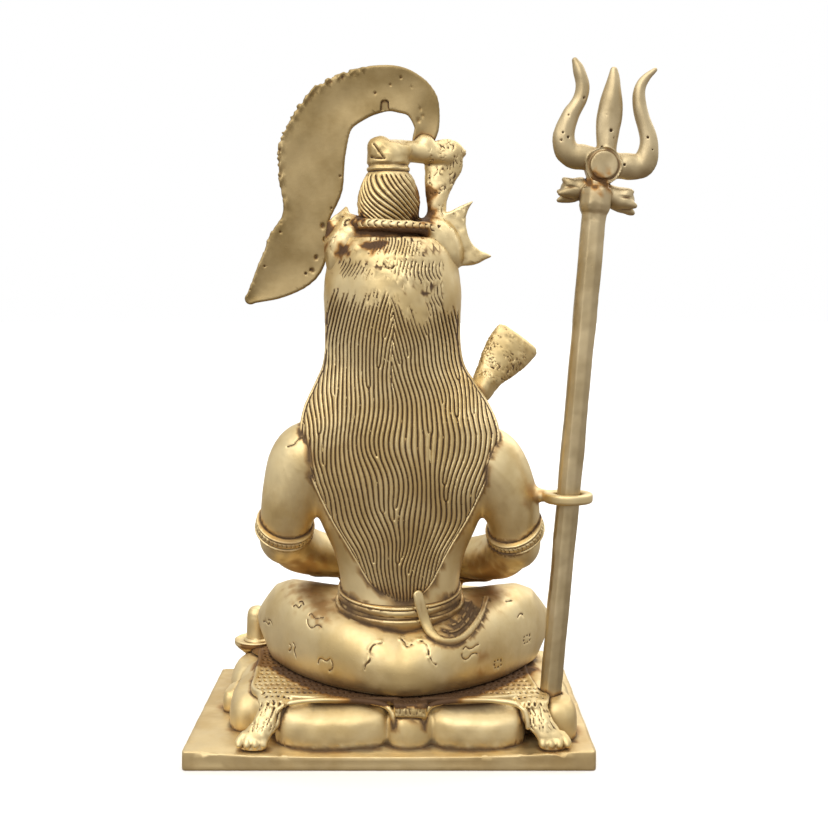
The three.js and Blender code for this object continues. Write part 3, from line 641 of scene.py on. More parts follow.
def tiger_head(clay):
    """The skin's head, which hangs over the front of the rocks."""
    y, z = -ROCK_Y + 0.9, PLATE_TOP + 9
    skull = [[0, y + 7, z + 8, 12.5, 4.4], [0, y + 1, z + 4.5, 11.5, 5], [0, y - 2.4, z - 2, 8.0, 4.6],
             [0, y - 3.2, z - 5.4, 5.4, 3.6]]
    clay.add(chain(skull, 6, thin=(0, 0.8, -0.6)), blend=2.0)
    for side in (1, -1):
        clay.add(ball((side * 10.2, y + 1.2, z + 8), (3.2, 1.6, 3.6), (0, 0, side * 0.4)), blend=0.8)
        clay.cut(ball((side * 10.4, y - 0.8, z + 8.4), (1.9, 1.2, 2.2)), blend=0.5)
        clay.add(ball((side * 2.3, y - 4.9, z - 4.4), (2.7, 2.0, 2.2)), blend=0.7)
        clay.cut(ball((side * 4.6, y - 5.4, z + 1.6), (2.5, 1.3, 1.7), (0, side * 0.3, 0)), blend=0.6)
        clay.add(ball((side * 4.6, y - 3.9, z + 1.5), (1.7, 1.3, 1.2)), blend=0.2)
        brow = [[2.2, y - 4.6, z + 3.0, 0.8], [5.2, y - 4.2, z + 4.6, 0.9], [8, y - 2.2, z + 3.6, 0.6]]
        clay.add(chain(mirrored(brow, side), 4), blend=0.6)
    nose = [[0, y - 4.0, z + 2.4, 1.8], [0, y - 4.8, z - 1.6, 1.6], [0, y - 5.2, z - 2.9, 1.4]]
    clay.add(chain(nose, 4), blend=1.0)
    lines = [[(0, z - 3.9), (0, z - 5.0)], [(0, z + 8.0), (0, z + 5.6)]]
    for side in (1, -1):
        for line in TIGER_LINES:
            lines.append([(side * across, z + up) for across, up in line])
    clay.press((-12, y - 9, z - 9), (12, y + 1.5, z + 9), drawn(lines, 0.55, 0.36))


# Distance between the skin's punched dots in a row, and between the rows
DOTS_ACROSS, DOTS_ALONG = 2.4, 5.0
# Distance between the cuts that stand for fur on its legs
FUR_PITCH = 1.4
# Corners of the places that have fur
FUR = (
    ((38, 43, 10), (72, 56, 26)), ((-76, 43, 10), (-56, 56, 26)), ((-15, 43, 10), (-2, 56, 26)),
    ((50, -57, 10), (76, -44, 26)), ((-76, -57, 10), (-50, -44, 26)),
)


def make_tiger_skin():
    """The skin over the rocks: its flat part, four legs, a flap and the head."""
    clay = Clay((-76, -57, PLATE_TOP - 1), (76, 56, SEAT + 1.2), 0.4)
    outline = skin_outline()
    clay.add(slab(outline, SEAT - 1.8, 1.8, 0.9))
    for leg in SKIN_LEGS:
        skin_leg(clay, *leg)
    flap_root = [[FLAP_X, 32, SEAT - 2.6, 8, 2.5], [FLAP_X, 40, SEAT - 2.6, 6.8, 2.5]]
    clay.add(chain(flap_root, 4, thin=(0, 0, 1)), blend=1.0)
    flap = [[FLAP_X - 7, SEAT - 0.4], [FLAP_X + 7, SEAT - 0.4], [FLAP_X + 6.4, SEAT - 6.4],
            [FLAP_X - 6.4, SEAT - 7.0]]
    clay.add(slab(flap, 46.4, 3.0, 1.4, axis=1), blend=1.0)
    tiger_head(clay)
    for boulder_x, half in BACK_BOULDERS:
        clay.add(fold_of_skin(boulder_x, half), blend=0.5)
    clay.cut(half_space((-80, -60, SEAT), (80, 60, SEAT + 6), lambda x, y, z: SEAT - z), blend=0.4)
    under = half_space((-80, -60, 0), (80, 60, PLATE_TOP), lambda x, y, z: z - PLATE_TOP + 0.8)
    clay.cut(under, blend=0.4)
    clay.cut(socket_form(), blend=0.3)

    def hide_edge(x, y):
        """Distance to the border of the hide's flat part, with the roots of its legs and flap."""
        edge = polygon_distance(x, y, outline)
        roots = [(FLAP_X, 33, 12, 6.4)]
        for side_x, side_y, root, _ in SKIN_LEGS:
            roots.append((side_x * root, side_y * (ROCK_Y - 14), side_y * 11, 7.6))
        for at_x, at_y, run, reach in roots:
            t = np.clip((y - at_y) / run, 0, 1)
            edge = np.minimum(edge, np.hypot(x - at_x, y - at_y - t * run) - reach)
        return edge

    def punched(x, y, z):
        """Rows of punched dots on the flat part, and a raised rim round it."""
        edge = hide_edge(x, y)
        bent = y + 0.4 * np.sin(x / 6)
        row = np.round(bent / DOTS_ALONG)
        shift = 0.5 * (row % 2) + 0.12 * np.sin(row * 2.4)
        place = x / DOTS_ACROSS + shift
        dx = (place - np.round(place)) * DOTS_ACROSS
        dy = bent - row * DOTS_ALONG
        inside = step_up(-edge, 1.8, 2.8)
        dots = 1.8 * np.exp(-(dx / 0.38) ** 2 - (dy / 0.85) ** 4) * inside
        rim = 0.35 * step_up(-edge, 1.0, 2.2)
        return (dots + rim + 0.05 * ripple(x, y, z, 7, 21)) * step_up(z, SEAT - 3.4, SEAT - 2.2)

    clay.press((-76, -50, SEAT - 3.6), (76, 50, SEAT + 1.2), punched)

    def strokes(x, y, z):
        """Long cuts down the legs, and a row of short ones on the flap, for the fur."""
        lean = 0.35 * np.sign(x - FLAP_X) * step_up(np.abs(x - FLAP_X), 8, 20)
        run = (x + lean * (z - PLATE_TOP) + 0.25 * np.sin(z * 1.1 + x)) / FUR_PITCH
        number = np.round(run)
        broken = step_up(np.sin(z / 1.5 + 2.4 * number), -0.75, -0.35)
        foot = np.where(np.abs(x - FLAP_X) < 8, SEAT - 6, PLATE_TOP + 5.5)
        fade = step_up(z, foot, foot + 1.5) * step_up(-z, 0.8 - SEAT, 2.6 - SEAT)
        return 0.42 * np.exp(-((run - number) * FUR_PITCH / 0.28) ** 2) * broken * fade

    for low, high in FUR:
        clay.press(low, high, strokes)
    return clay


def make_linga():
    """A small linga in its round dish, on a turned foot."""
    centre = (ROCK_X * 0.82, 0.5 - ROCK_Y * 0.88, PLATE_TOP + 16 * 0.42)
    clay = Clay((centre[0] - 17, centre[1] - 14, 10), (centre[0] + 14, centre[1] + 14, 46), 0.32)
    foot = [[0, 0], [6.5, 0], [6.6, 0.8], [5.2, 2.0], [4.8, 4.2], [6.4, 6.0], [9.0, 8.2], [10.4, 9.8],
            [10.7, 11.0], [10.6, 12.0], [10.0, 12.4], [9.4, 12.3], [9.0, 11.8], [7.5, 11.5], [0, 11.5]]
    clay.add(lathe(foot, centre), blend=0.3)
    shaft = [[0, 10], [6.2, 10], [6.0, 12.0], [5.1, 12.8], [4.8, 17], [4.7, 22], [4.3, 25.0], [3.4, 26.8],
             [1.8, 27.6], [0, 27.8]]
    clay.add(lathe(shaft, centre), blend=0.3)
    for level, radius in ((9.4, 10.0), (11.2, 10.7)):
        line = hoop(centre + np.array([0, 0, level]), radius, radius, round_section(0.3), 0.6)
        clay.cut(line, blend=0.3)
    clay.press((40, -60, 10), (90, -20, 46), waves((0.05, 6, 31)))
    return clay


# Figure, in millimetres from the middle of its seat. Its left is +X, and its back is +Y

def lap_rows():
    """Sections of the crossed legs under the cloth, from the right knee to the left knee."""
    reach = 67.0
    rows = []
    for share in np.linspace(1, -1, 61):
        s = reach * math.sin(share * math.pi / 2 * 0.99)
        size = abs(s)
        back = 44 - 0.0142 * s * s
        front = -31 - 0.0015 * s * s
        end = math.sqrt(1 - (size / reach) ** 12)
        sink = np.interp(size, [0, 45, 58, 67], [12, 11, 6, -6])
        crest = np.interp(size, [0, 12, 24, 50, 58, 67], [28, 31, 33.5, 34, 31.5, 22]) - 0.02 * s
        rows.append((-s - 1.5, (back - front) / 2 * end, (crest + sink) / 2 * end,
                     (back + front) / 2, (crest - sink) / 2))
    return rows


def foot_sole_up(clay, side, lift):
    """A shin that crosses in front, and its foot, sole up on the other thigh."""
    shin = [[50, -19, 14, 11], [32, -31, 13, 10], [8, -35, 17, 8], [-12, -31.5, 25, 6.4],
            [-23, -25, 30.5, 5.8]]
    clay.add(chain(mirrored(shin, side, lift), 6), blend=2.0)
    clay.add(ball((side * -12, -35.2, 26 + lift), (3.2, 3.0, 3.0)), blend=1.5)
    sole = [[-20, -26.5, 31.2, 5.6, 4.8], [-27.0, -23.0, 32.8, 5.2, 3.6], [-33, -20.0, 33.8, 6.0, 3.0],
            [-36.6, -18.0, 34.2, 6.2, 2.7]]
    clay.add(chain(mirrored(sole, side, lift), 6, thin=(0, 0.2, 0.98)), blend=1.2)
    length = np.array([side * -0.87, 0.49, 0.05])
    across = np.array([side * 0.49, 0.87, 0.0])
    tip = np.array([side * -37.4, -17.6, 34.8 + lift])
    for i in range(5):
        radius = 2.1 - 0.22 * i
        start = tip + across * (4.9 - 2.5 * i)
        end = start + length * (5.2 - 0.75 * i) + np.array([0, 0, 0.3])
        clay.add(chain([[*start, radius * 0.9], [*end, radius]], 2), blend=0.35)


def lap_back(x, z):
    """How far back the lap reaches at a place across and a height."""
    rows = np.array(lap_rows())
    half_y, half_z, mid_y, mid_z = (np.interp(x, rows[:, 0], rows[:, i]) for i in range(1, 5))
    share = min(abs(z - mid_z) / half_z, 0.999)
    return mid_y + half_y * (1 - share ** 2.3) ** (1 / 2.3)


# Small marks drawn on the cloth, as seen from behind: strokes of points to the right and up from
# their middle
UPRIGHT_PAIR = (((0.6, 2.8), (1.4, 1.4), (1.0, -0.4), (1.7, -2.6)),
                ((-1.2, 1.4), (-0.6, 0.6), (-0.8, -0.8), (-1.6, -1.6)))
WAVE_AND_ARC = (((-3.2, -0.4), (-2.8, 1.2), (-1.6, 1.8), (-0.2, 1.4), (0.8, 1.6), (2.0, 2.8)),
                ((2.6, 2.3), (3.2, 0.4), (2.8, -1.5), (1.6, -2.5)))
DOUBLE_WAVE = (((-3.0, 1.6), (-2.0, 2.3), (-0.6, 1.3), (0.8, 1.2), (2.2, 1.8), (3.4, 2.0)),
               ((-3.6, -0.2), (-3.4, -1.6), (-2.2, -2.6), (-0.8, -2.3), (0.4, -1.2), (1.8, -1.0),
                (2.8, -1.4)))
SMALL_CURLS = (((-2.4, -0.6), (-1.2, 0.2), (0.2, -0.4), (1.2, 0.8)), ((0.4, 1.6), (1.6, 2.0), (2.4, 1.2)))
SMALL_SQUARE = (((-1.4, 1.3), (-1.3, 1.2)), ((0.0, 1.4), (0.1, 1.3)), ((1.4, 1.2), (1.5, 0.4)),
                ((-1.6, 0.1), (-1.5, -0.4)), ((-1.2, -1.5), (-1.1, -1.6)), ((0.1, -1.7), (0.3, -1.7)),
                ((1.5, -1.4), (1.6, -1.2)))
SLOT = (((-1.4, 0.1), (1.2, -0.1)),)
# Where they are: x, y and z of the middle, and the strokes
CLOTH_MARKS = (
    (43.5, 8.9, 28.6, SMALL_CURLS), (35.3, 20.6, 25.2, DOUBLE_WAVE), (46.0, 11.7, 10.9, UPRIGHT_PAIR),
    (30.6, 29.3, 9.7, WAVE_AND_ARC), (-29.1, 32.7, 15.9, DOUBLE_WAVE), (-41.1, 21.4, 7.4, SMALL_SQUARE),
    (-54.9, 2.9, 12.8, SMALL_SQUARE), (-46.8, 4.8, 29.8, SLOT), (59.0, -12.0, 16.0, SMALL_CURLS),
    (-58.0, -14.0, 16.0, SMALL_SQUARE), (-53.0, 10.0, 24.0, SMALL_CURLS),
)
# Soft folds of the cloth over each thigh in front: places across, from the middle outwards, and heights
FRONT_FOLDS = (
    ((27.0, 25.5), (38.0, 24.0), (50.0, 17.0), (56.0, 9.0)), ((34.0, 17.0), (44.0, 13.5), (51.0, 7.5)),
    ((24.0, 8.0), (36.0, 6.5), (46.0, 3.0)),
)
# Cold seams in the casting below the belt, a raised lip on each, and a crack at the left shoulder
SEAMS = (
    ((7.4, 21.6), (10.6, 21.0), (12.4, 18.8), (12.0, 16.6), (12.8, 14.6), (14.2, 13.2), (14.6, 11.4)),
    ((-7.0, 22.0), (-9.6, 21.9), (-11.2, 19.6), (-11.3, 17.6)),
    ((-12.0, 16.2), (-13.0, 14.4), (-14.2, 13.6)),
    ((-0.4, 22.4), (-1.6, 21.4), (-2.6, 20.2), (-4.4, 21.0)),
)
SHOULDER_CRACK = (((46.0, 99.4), (43.2, 100.4), (41.6, 102.4), (39.0, 103.2)),)


def make_lap():
    """The crossed legs under the cloth, with the feet on the thighs."""
    clay = Clay((-71, -48, -1), (68, 47, 44), 0.38, **ON_FIGURE)
    clay.add(loft(lap_rows(), power=2.3, axis=0))
    foot_sole_up(clay, 1, 2.4)
    foot_sole_up(clay, -1, 4.6)
    fan = [[0, -34, 14, 7.0, 3.0], [0, -38.4, 8, 7.8, 2.6], [0, -40.6, 4, 9.2, 2.3],
           [0, -41.6, 1.2, 10.4, 2.0]]
    clay.add(chain(fan, 6, thin=(0, 1, 0), power=3), blend=1.0)

    def cloth(x, y, z):
        """Soft hollows where the cloth is drawn over the thighs, and the unevenness of handwork."""
        back = step_up(y, -5, 15)
        hollow = 0.45 * bump(x, -41, 6) + 0.3 * bump(x, 21, 8) - 0.2 * bump(x, 31, 8) - 0.2 * bump(x, -30, 8)
        flat = 0.25 * step_up(-np.abs(x + 0.5), -15, -9) * step_up(-z, -25, -14)
        drawn_tight = back * (hollow + flat) * step_up(z, 2, 8)
        return drawn_tight + 0.09 * ripple(x, y, z, 26, 41) + 0.015 * ripple(x, y, z, 7, 42)

    def pleats(x, y, z):
        """Grooves that fan out down the end of the cloth between the shins."""
        half = np.interp(z, [1, 4, 8, 14], [11.5, 10.4, 9.0, 8.0])
        phase = x / half * 3.5 + 0.5
        inside = step_up(half - np.abs(x), 0.0, 1.0)
        return 0.6 * groove_profile(phase, half / 3.5, 0.5) * inside * step_up(-y, 36, 38)

    clay.press((-71, -48, -1), (68, 47, 44), cloth)
    clay.press((-13, -47, -1), (13, -35, 11), pleats)
    for side in (1, -1):
        folds = [[(side * x - 1.5, z) for x, z in fold] for fold in FRONT_FOLDS]
        low, high = sorted((side * 20 - 1.5, side * 60 - 1.5))
        clay.press((low, -44, 0), (high, -14, 29), drawn(folds, 0.35, 1.1, lip=0.08))
    for x, y, z, strokes in CLOTH_MARKS:
        marks = [[(x - u, z + v) for u, v in stroke] for stroke in strokes]
        clay.press((x - 5, y - 7, z - 4), (x + 5, y + 7, z + 4), drawn(marks, 0.45, 0.33))

    def seams(x, y, z):
        ridge = drawn(SEAMS, -0.45, 0.8)(x, y, z)
        crack = drawn([[(u - 0.6, v - 0.45) for u, v in seam] for seam in SEAMS], 0.62, 0.36)(x, y, z)
        return (ridge + crack) * (0.75 + 0.4 * ripple(x, y, z, 3.2, 43))

    clay.press((-18, 26, 7), (19, 47, 27), seams)
    clay.cut(half_space((-80, -60, -2), (80, 60, 0.1), lambda x, y, z: z - 0.05), blend=0.3)
    return clay


def torso_form():
    """Sections of the torso and the neck: height, half width, half depth and middle."""
    rows = [
        (18, 25.6, 17.6, 0, 15), (33, 25.2, 17, 0, 15), (40, 24.8, 16.5, 0, 15), (53, 27.2, 17, 0, 14.5),
        (67, 33, 18, 0, 14), (80, 38, 18.5, 0, 13.5), (92, 41, 18, 0, 13.5), (102, 38, 16, 0, 13),
        (110, 30, 14, 0, 12.5), (118, 18.4, 12.4, 0.5, 12), (124, 13.6, 10.6, 1.2, 11),
        (140, 12.0, 10.0, 2.5, 9.5),
    ]
    return loft(rows, power=2.25)


def chest(clay):
    """Breast, belly, collar bones and navel."""
    for side in (1, -1):
        clay.add(ball((side * 15.5, 0.5, 90), (16, 6.5, 10.5), (0.25, 0, 0)), blend=5)
        clay.add(ball((side * 17.5, -5.7, 86.5), (1.7, 1.1, 1.7)), blend=0.6)
        bone = [[4, -2.0, 107, 1.5], [15, 1.5, 109, 1.6], [28, 8, 108, 1.4]]
        clay.add(chain(mirrored(bone, side), 5), blend=3.0)
        shoulder = [[27, 12, 106, 9], [14, 12, 115, 8.5], [8, 11, 126, 8]]
        clay.add(chain(mirrored(shoulder, side), 5), blend=6)
    clay.add(ball((0, 3.2, 55), (19, 7.6, 15)), blend=7)
    clay.cut(ball((0, -5.6, 54), (1.9, 2.2, 2.3)), blend=1.2)
    clay.cut(chain([[0, -7.2, 84, 0.6], [0, -6.0, 96, 0.9], [0, -4.5, 104, 0.7]], 4), blend=3.5)


def limb_arm(clay, side):
    """An arm from the shoulder to the wrist. The right one hangs a little lower."""
    drop = 0 if side > 0 else 2.5
    upper = [[30, 13, 99 - drop, 11.0], [39 - drop / 2, 13, 93.5 - drop, 14.4],
             [44.5, 13.5, 81 - drop, 12.8], [48, 12.5, 67, 11.0], [48.8, 9, 59 - drop, 10.6]]
    clay.add(chain(mirrored(upper, side), 8), blend=4.0)
    fore = [[48.3, 7, 58.0 - drop, 10.6], [42, -5, 50.4 - drop, 10.4], [27, -21, 43.2, 8.7],
            [12, -27.5, 41.6, 6.0]]
    clay.add(chain(mirrored(fore, side), 10), blend=3.0)
    clay.add(ball((side * 49.5, 15, 57.5 - drop), (6, 5.5, 6)), blend=4.0)


def open_hand(clay, side, lift):
    """A hand palm up in the lap: the palm, four fingers and the thumb."""
    clay.add(ball((side * 6.5, -28.2, 40.4 + lift), (8.6, 6.4, 3.4)), blend=1.6)
    clay.cut(ball((side * 4.5, -28.4, 45.6 + lift), (5.5, 4.0, 2.6)), blend=1.5)
    for i, reach in enumerate((11.5, 13.2, 12.6, 10.2)):
        y = -23.8 - 3.15 * i
        finger = [[1.5, y, 41.0, 1.85], [-4.5, y - 0.1, 41.5, 1.75], [-9, y + 0.1, 41.6, 1.6],
                  [-reach, y + 0.3, 42.6, 1.35]]
        clay.add(chain(mirrored(finger, side, lift), 4), blend=0.35)
    thumb = [[10, -23.5, 41.5, 2.5], [5.5, -21.8, 44, 2.1], [0.8, -22.0, 46, 1.7]]
    clay.add(chain(mirrored(thumb, side, lift), 4), blend=0.9)


def make_body():
    """Torso, neck, arms and hands, and the ring that holds the trident."""
    clay = Clay((-80, -42, 10), (64, 41, 146), 0.45, **ON_FIGURE)
    clay.add(torso_form())
    chest(clay)
    for side in (1, -1):
        limb_arm(clay, side)
    open_hand(clay, 1, 0)
    open_hand(clay, -1, 4.0)
    arm_ring(clay)
    clay.press((-70, -42, 10), (64, 41, 146), waves((0.14, 24, 51), (0.02, 7, 52)))
    clay.press((36, 12, 96), (49, 41, 107), drawn(SHOULDER_CRACK, 0.6, 0.32, lip=0.06))
    return clay


def on_body(x, z, out=0.0):
    """A point on the front of the body, across and at a height, and out from its surface."""
    depth = np.arange(-30, 20, 0.25)
    line = np.stack([np.full_like(depth, x), depth, np.full_like(depth, z)], axis=1)
    return [x, depth[np.argmax(BODY.sample(line) < 0)] - out, z]


def round_the_neck(width, top, drop, out, count):
    """Points on the body of a string that hangs from the sides of the neck."""
    swing = np.linspace(-math.pi / 2, math.pi / 2, count)
    return np.array([on_body(0.5 + width * math.sin(a), top - drop * math.cos(a), out) for a in swing])


def arm_ring(clay):
    """The bracket on the right arm and its ring, centred on the trident's rod."""
    level = SEAT + 78.4 * UNIT
    share = (level - ROD_FOOT[2]) / (on_rod(1)[2] - ROD_FOOT[2])
    centre = (on_rod(share) - np.array([FIGURE_X, 0, SEAT])) / UNIT
    radius = (ROD_TOP_RADIUS + 1.2 + 2.1) / UNIT
    clay.add(hoop(centre, radius, radius, band_section(0, 0, 1.9, 2.0, 1.1), 2.6), blend=0.5)
    elbow = np.array([-50, 14, 78.4])
    way = (elbow - centre) / np.linalg.norm(elbow - centre)
    rim = centre + way * (radius + 0.6)
    bracket = [[*elbow, 5.6, 5.0], [*(rim + way * 3.2), 3.0, 2.6], [*rim, 2.0, 2.0]]
    clay.add(chain(bracket, 5, thin=(0, 0, 1)), blend=1.6)


# Ornaments, laid on the finished body

BODY = make_body()


def armlet(clay, side):
    """A band above the elbow with a line along each edge and leaves between them."""
    centre = (side * 48.6, 12.0, 64.2 if side > 0 else 62.8)
    turn = (-0.52, -0.27 if side > 0 else 0.38, 0)
    radius = 12
    leaf = 2 * math.pi * radius / 40

    def section(out, up, angle):
        band = band_section(-0.1, 0, 1.5, 2.6, 0.5)(out, up, angle)
        lines = 0.8 * (bump(up, 1.45, 0.36) + bump(up, -1.45, 0.34))
        run = angle * radius / leaf + 0.5 * np.abs(up) / leaf
        leaves = 0.5 * groove_profile(run, leaf, 0.34) * step_up(-np.abs(up), -1.1, -0.8)
        return band + lines + leaves

    clay.add(hoop(centre, 11.1, 11.9, section, 3.4, turn), blend=0.3)


# Middle, half width, half depth and tilt of the belt
BELT = {"centre": (0, 15, 35.3), "x": 24.9, "y": 17.7, "tilt": -0.30}


def belt(clay):
    """Two flat bands round the waist, with lines cut between them and along their edges."""
    def section(out, up, angle):
        upper = band_section(-0.4, 2.3, 1.6, 2.4, 0.4)(out, up, angle)
        lower = band_section(0.1, -3.9, 2.2, 3.6, 0.5)(out, up, angle)
        lines = 1.2 * bump(up, -0.2, 0.4) + 0.8 * bump(up, 3.4, 0.36)
        return np.minimum(upper, lower) + lines

    clay.add(hoop(BELT["centre"], BELT["x"], BELT["y"], section, 6, (BELT["tilt"], 0, 0)), blend=0.25)


def cord_row(x, z, half, thick):
    """A station of the cord, on the waist or on the lap, whichever is further back."""
    waist = 0.0
    if abs(x) < 22:
        waist = BELT["centre"][1] + BELT["y"] * math.sqrt(1 - (x / BELT["x"]) ** 2) + 1.8
    return [x, max(waist, lap_back(x, z) + 0.3) if z < 39 else waist, z, half, thick]


def hanging_cord(clay):
    """The flat cord that falls from the tip of the hair and curves round to the right hip."""
    path = ((-7.6, 39.8), (-8.1, 37.4), (-8.9, 34.4), (-9.9, 30.8), (-11.2, 27.2), (-13.4, 23.8),
            (-17.0, 21.4), (-21.4, 20.7), (-26.0, 21.8), (-30.4, 24.6), (-34.2, 28.2), (-36.8, 32.0))
    halves = (2.1, 2.2, 2.2, 2.2, 2.1, 2.0, 1.9, 1.8, 1.8, 1.7, 1.5, 1.2)
    band = np.array([cord_row(x, z, half, 0.9) for (x, z), half in zip(path, halves)])
    band[1:-1, 1] = (band[:-2, 1] + 2 * band[1:-1, 1] + band[2:, 1]) / 4 + 0.3
    clay.add(chain(band, 6, thin=(-0.35, 0.94, 0), power=4), blend=0.1)
    way = np.gradient(np.array(path), axis=0)
    way /= np.linalg.norm(way, axis=1)[:, None]
    for side in (1, -1):
        edge = []
        for (x, z), (run_x, run_z), half in zip(path, way, halves):
            out = (half + 0.35) * side
            place = cord_row(x - run_z * out, z + run_x * out, 0.4, 0.4)
            edge.append([place[0], place[1] - 0.2, place[2], 0.62])
        clay.cut(chain(edge, 5), blend=0.2)
    for offset, first, last in ((3.4, 6, 11), (5.4, 7, 11)):
        inner = [cord_row(x - run_z * -offset, z + run_x * -offset, 0.8, 0.8)
                 for (x, z), (run_x, run_z) in zip(path[first:last], way[first:last])]
        clay.add(chain([[x, y - 0.3, z, 0.75] for x, y, z, _, _ in inner], 5), blend=0.15)
    for i in range(7):
        x = -16.5 - 2.4 * i
        z = 24.4 + 0.16 * i ** 1.9
        hatch = [cord_row(x - 0.8, z, 0.4, 0.4), cord_row(x + 0.8, z + 2.0, 0.4, 0.4)]
        clay.cut(chain([[a, b + 0.4, c, 0.5] for a, b, c, _, _ in hatch], 3), blend=0.15)


def beads(clay):
    """A string of beads on the chest, with a larger one at its middle."""
    string = round_the_neck(17.5, 117, 27, 0.9, 81)
    length = np.concatenate([[0], np.cumsum(np.linalg.norm(np.diff(string, axis=0), axis=1))])
    count = 2 * round(length[-1] / 3.7 / 2) + 1
    for distance in np.linspace(0, length[-1], count):
        place = [np.interp(distance, length, string[:, i]) for i in range(3)]
        clay.add(ball(place, 1.95), blend=0.25)
    clay.add(ball(on_body(0.5, 86.6, 0.8), (2.9, 2.2, 3.2)), blend=0.3)


def neck_snake(clay):
    """The snake round the neck, its hood raised over the right shoulder."""
    body = [[*place, 2.7] for place in round_the_neck(17.0, 120, 12.5, 0.9, 11)]
    clay.add(chain(body + [[19, 12, 124, 2.4]], 4), blend=0.4)
    rise = [[-16.5, 5.5, 120, 2.7], [-21, 5.0, 117, 3.0], [-27, 6.2, 116.5, 3.4], [-33, 6.6, 119, 3.9],
            [-37.5, 5.2, 126, 4.6]]
    clay.add(chain(rise, 8), blend=1.0)
    hood = [[-34, 6, 121, 5.2, 3.4], [-38.0, 4, 127.5, 6.4, 3.0], [-42.5, 2, 133.4, 8.6, 2.9],
            [-46.4, 0.5, 138.0, 10.2, 2.9], [-49.4, -0.6, 141.6, 10.4, 3.0]]
    clay.add(chain(hood, 6, thin=(0, 1, 0)), blend=0.8)
    end = half_space((-66, -10, 130), (-30, 12, 156), lambda x, y, z: 147.0 + 0.59 * x - 0.81 * z)
    clay.cut(end, blend=3.0)

    def rough(x, y, z):
        on_hood = step_up(z - 0.7 * x, 148, 154)
        broken = step_up(ripple(x, y, z, 5, 63), -0.9, 0.0) * (1 - 0.5 * step_up(z - 0.7 * x, 166, 178))
        return (0.45 * worm_marks(x, y, z, 2.5, 61) * broken + 0.08 * ripple(x, y, z, 7, 62)) * on_hood

    clay.press((-64, -8, 118), (-30, 14, 156), rough)


def make_ornaments():
    """What the figure wears: belt, cord, armlets, beads and a snake."""
    clay = Clay((-64, -14, 8), (64, 46, 156), 0.4, **ON_FIGURE)
    belt(clay)
    hanging_cord(clay)
    for side in (1, -1):
        armlet(clay, side)
    beads(clay)
    neck_snake(clay)
    return clay


def make_bracelets():
    """Bracelets at the wrists, two rings on each."""
    clay = Clay((-26, -36, 32), (26, -14, 56), 0.36, **ON_FIGURE)
    for side in (1, -1):
        for x, y, z, radius in ((17.5, -26.0, 42.5, 6.9), (20.2, -24.7, 43.0, 7.2)):
            ring = hoop((side * x, y, z), radius, radius, round_section(1.1), 1.6, (0, 1.35, side * -0.45))
            clay.add(ring, blend=0.3)
    return clay


# Head. Its features stand on a skull, and its face is calm, with lowered lids

# Middle, half width, half depth and half height of the skull
SKULL = {"y": 3.0, "z": 159.0, "x": 20.5, "deep": 23.0, "high": 26.0}


def on_face(x, z, out=0.0):
    """A point on the front of the skull, across and at a height, and out from its surface."""
    spread = (x / SKULL["x"]) ** 2 + ((z - SKULL["z"]) / SKULL["high"]) ** 2
    return [HEAD_X + x, SKULL["y"] - SKULL["deep"] * math.sqrt(max(0.02, 1 - spread)) - out, z]


def face_line(clay, stations, blend, cut=False, per_span=5):
    """A ridge or a groove on the face through stations [across, height, out, radius]."""
    form = chain([[*on_face(x, z, out), radius] for x, z, out, radius in stations], per_span)
    if cut:
        clay.cut(form, blend)
    else:
        clay.add(form, blend)


# Lines of the face at one side, as [across, height] from the middle out, with their depth and width:
# the brow, the line where the lids meet, the fold of the lid, the lower lid, and the line between the lips
FACE_LINES = (
    (((2.4, 166.4), (5.0, 168.4), (8.8, 169.2), (13.4, 167.2)), -0.5, 0.95),
    (((3.0, 161.2), (5.2, 159.9), (8.0, 159.3), (10.8, 159.9), (13.2, 161.6)), 0.8, 0.36),
    (((3.4, 162.8), (5.6, 164.4), (8.2, 164.9), (10.8, 164.2), (13.2, 162.6)), 0.45, 0.42),
    (((5.0, 157.7), (8.0, 156.9), (11.2, 157.7)), 0.25, 0.6),
    (((0.0, 147.4), (2.4, 147.1), (4.4, 147.6), (6.0, 148.5)), 0.8, 0.38),
)


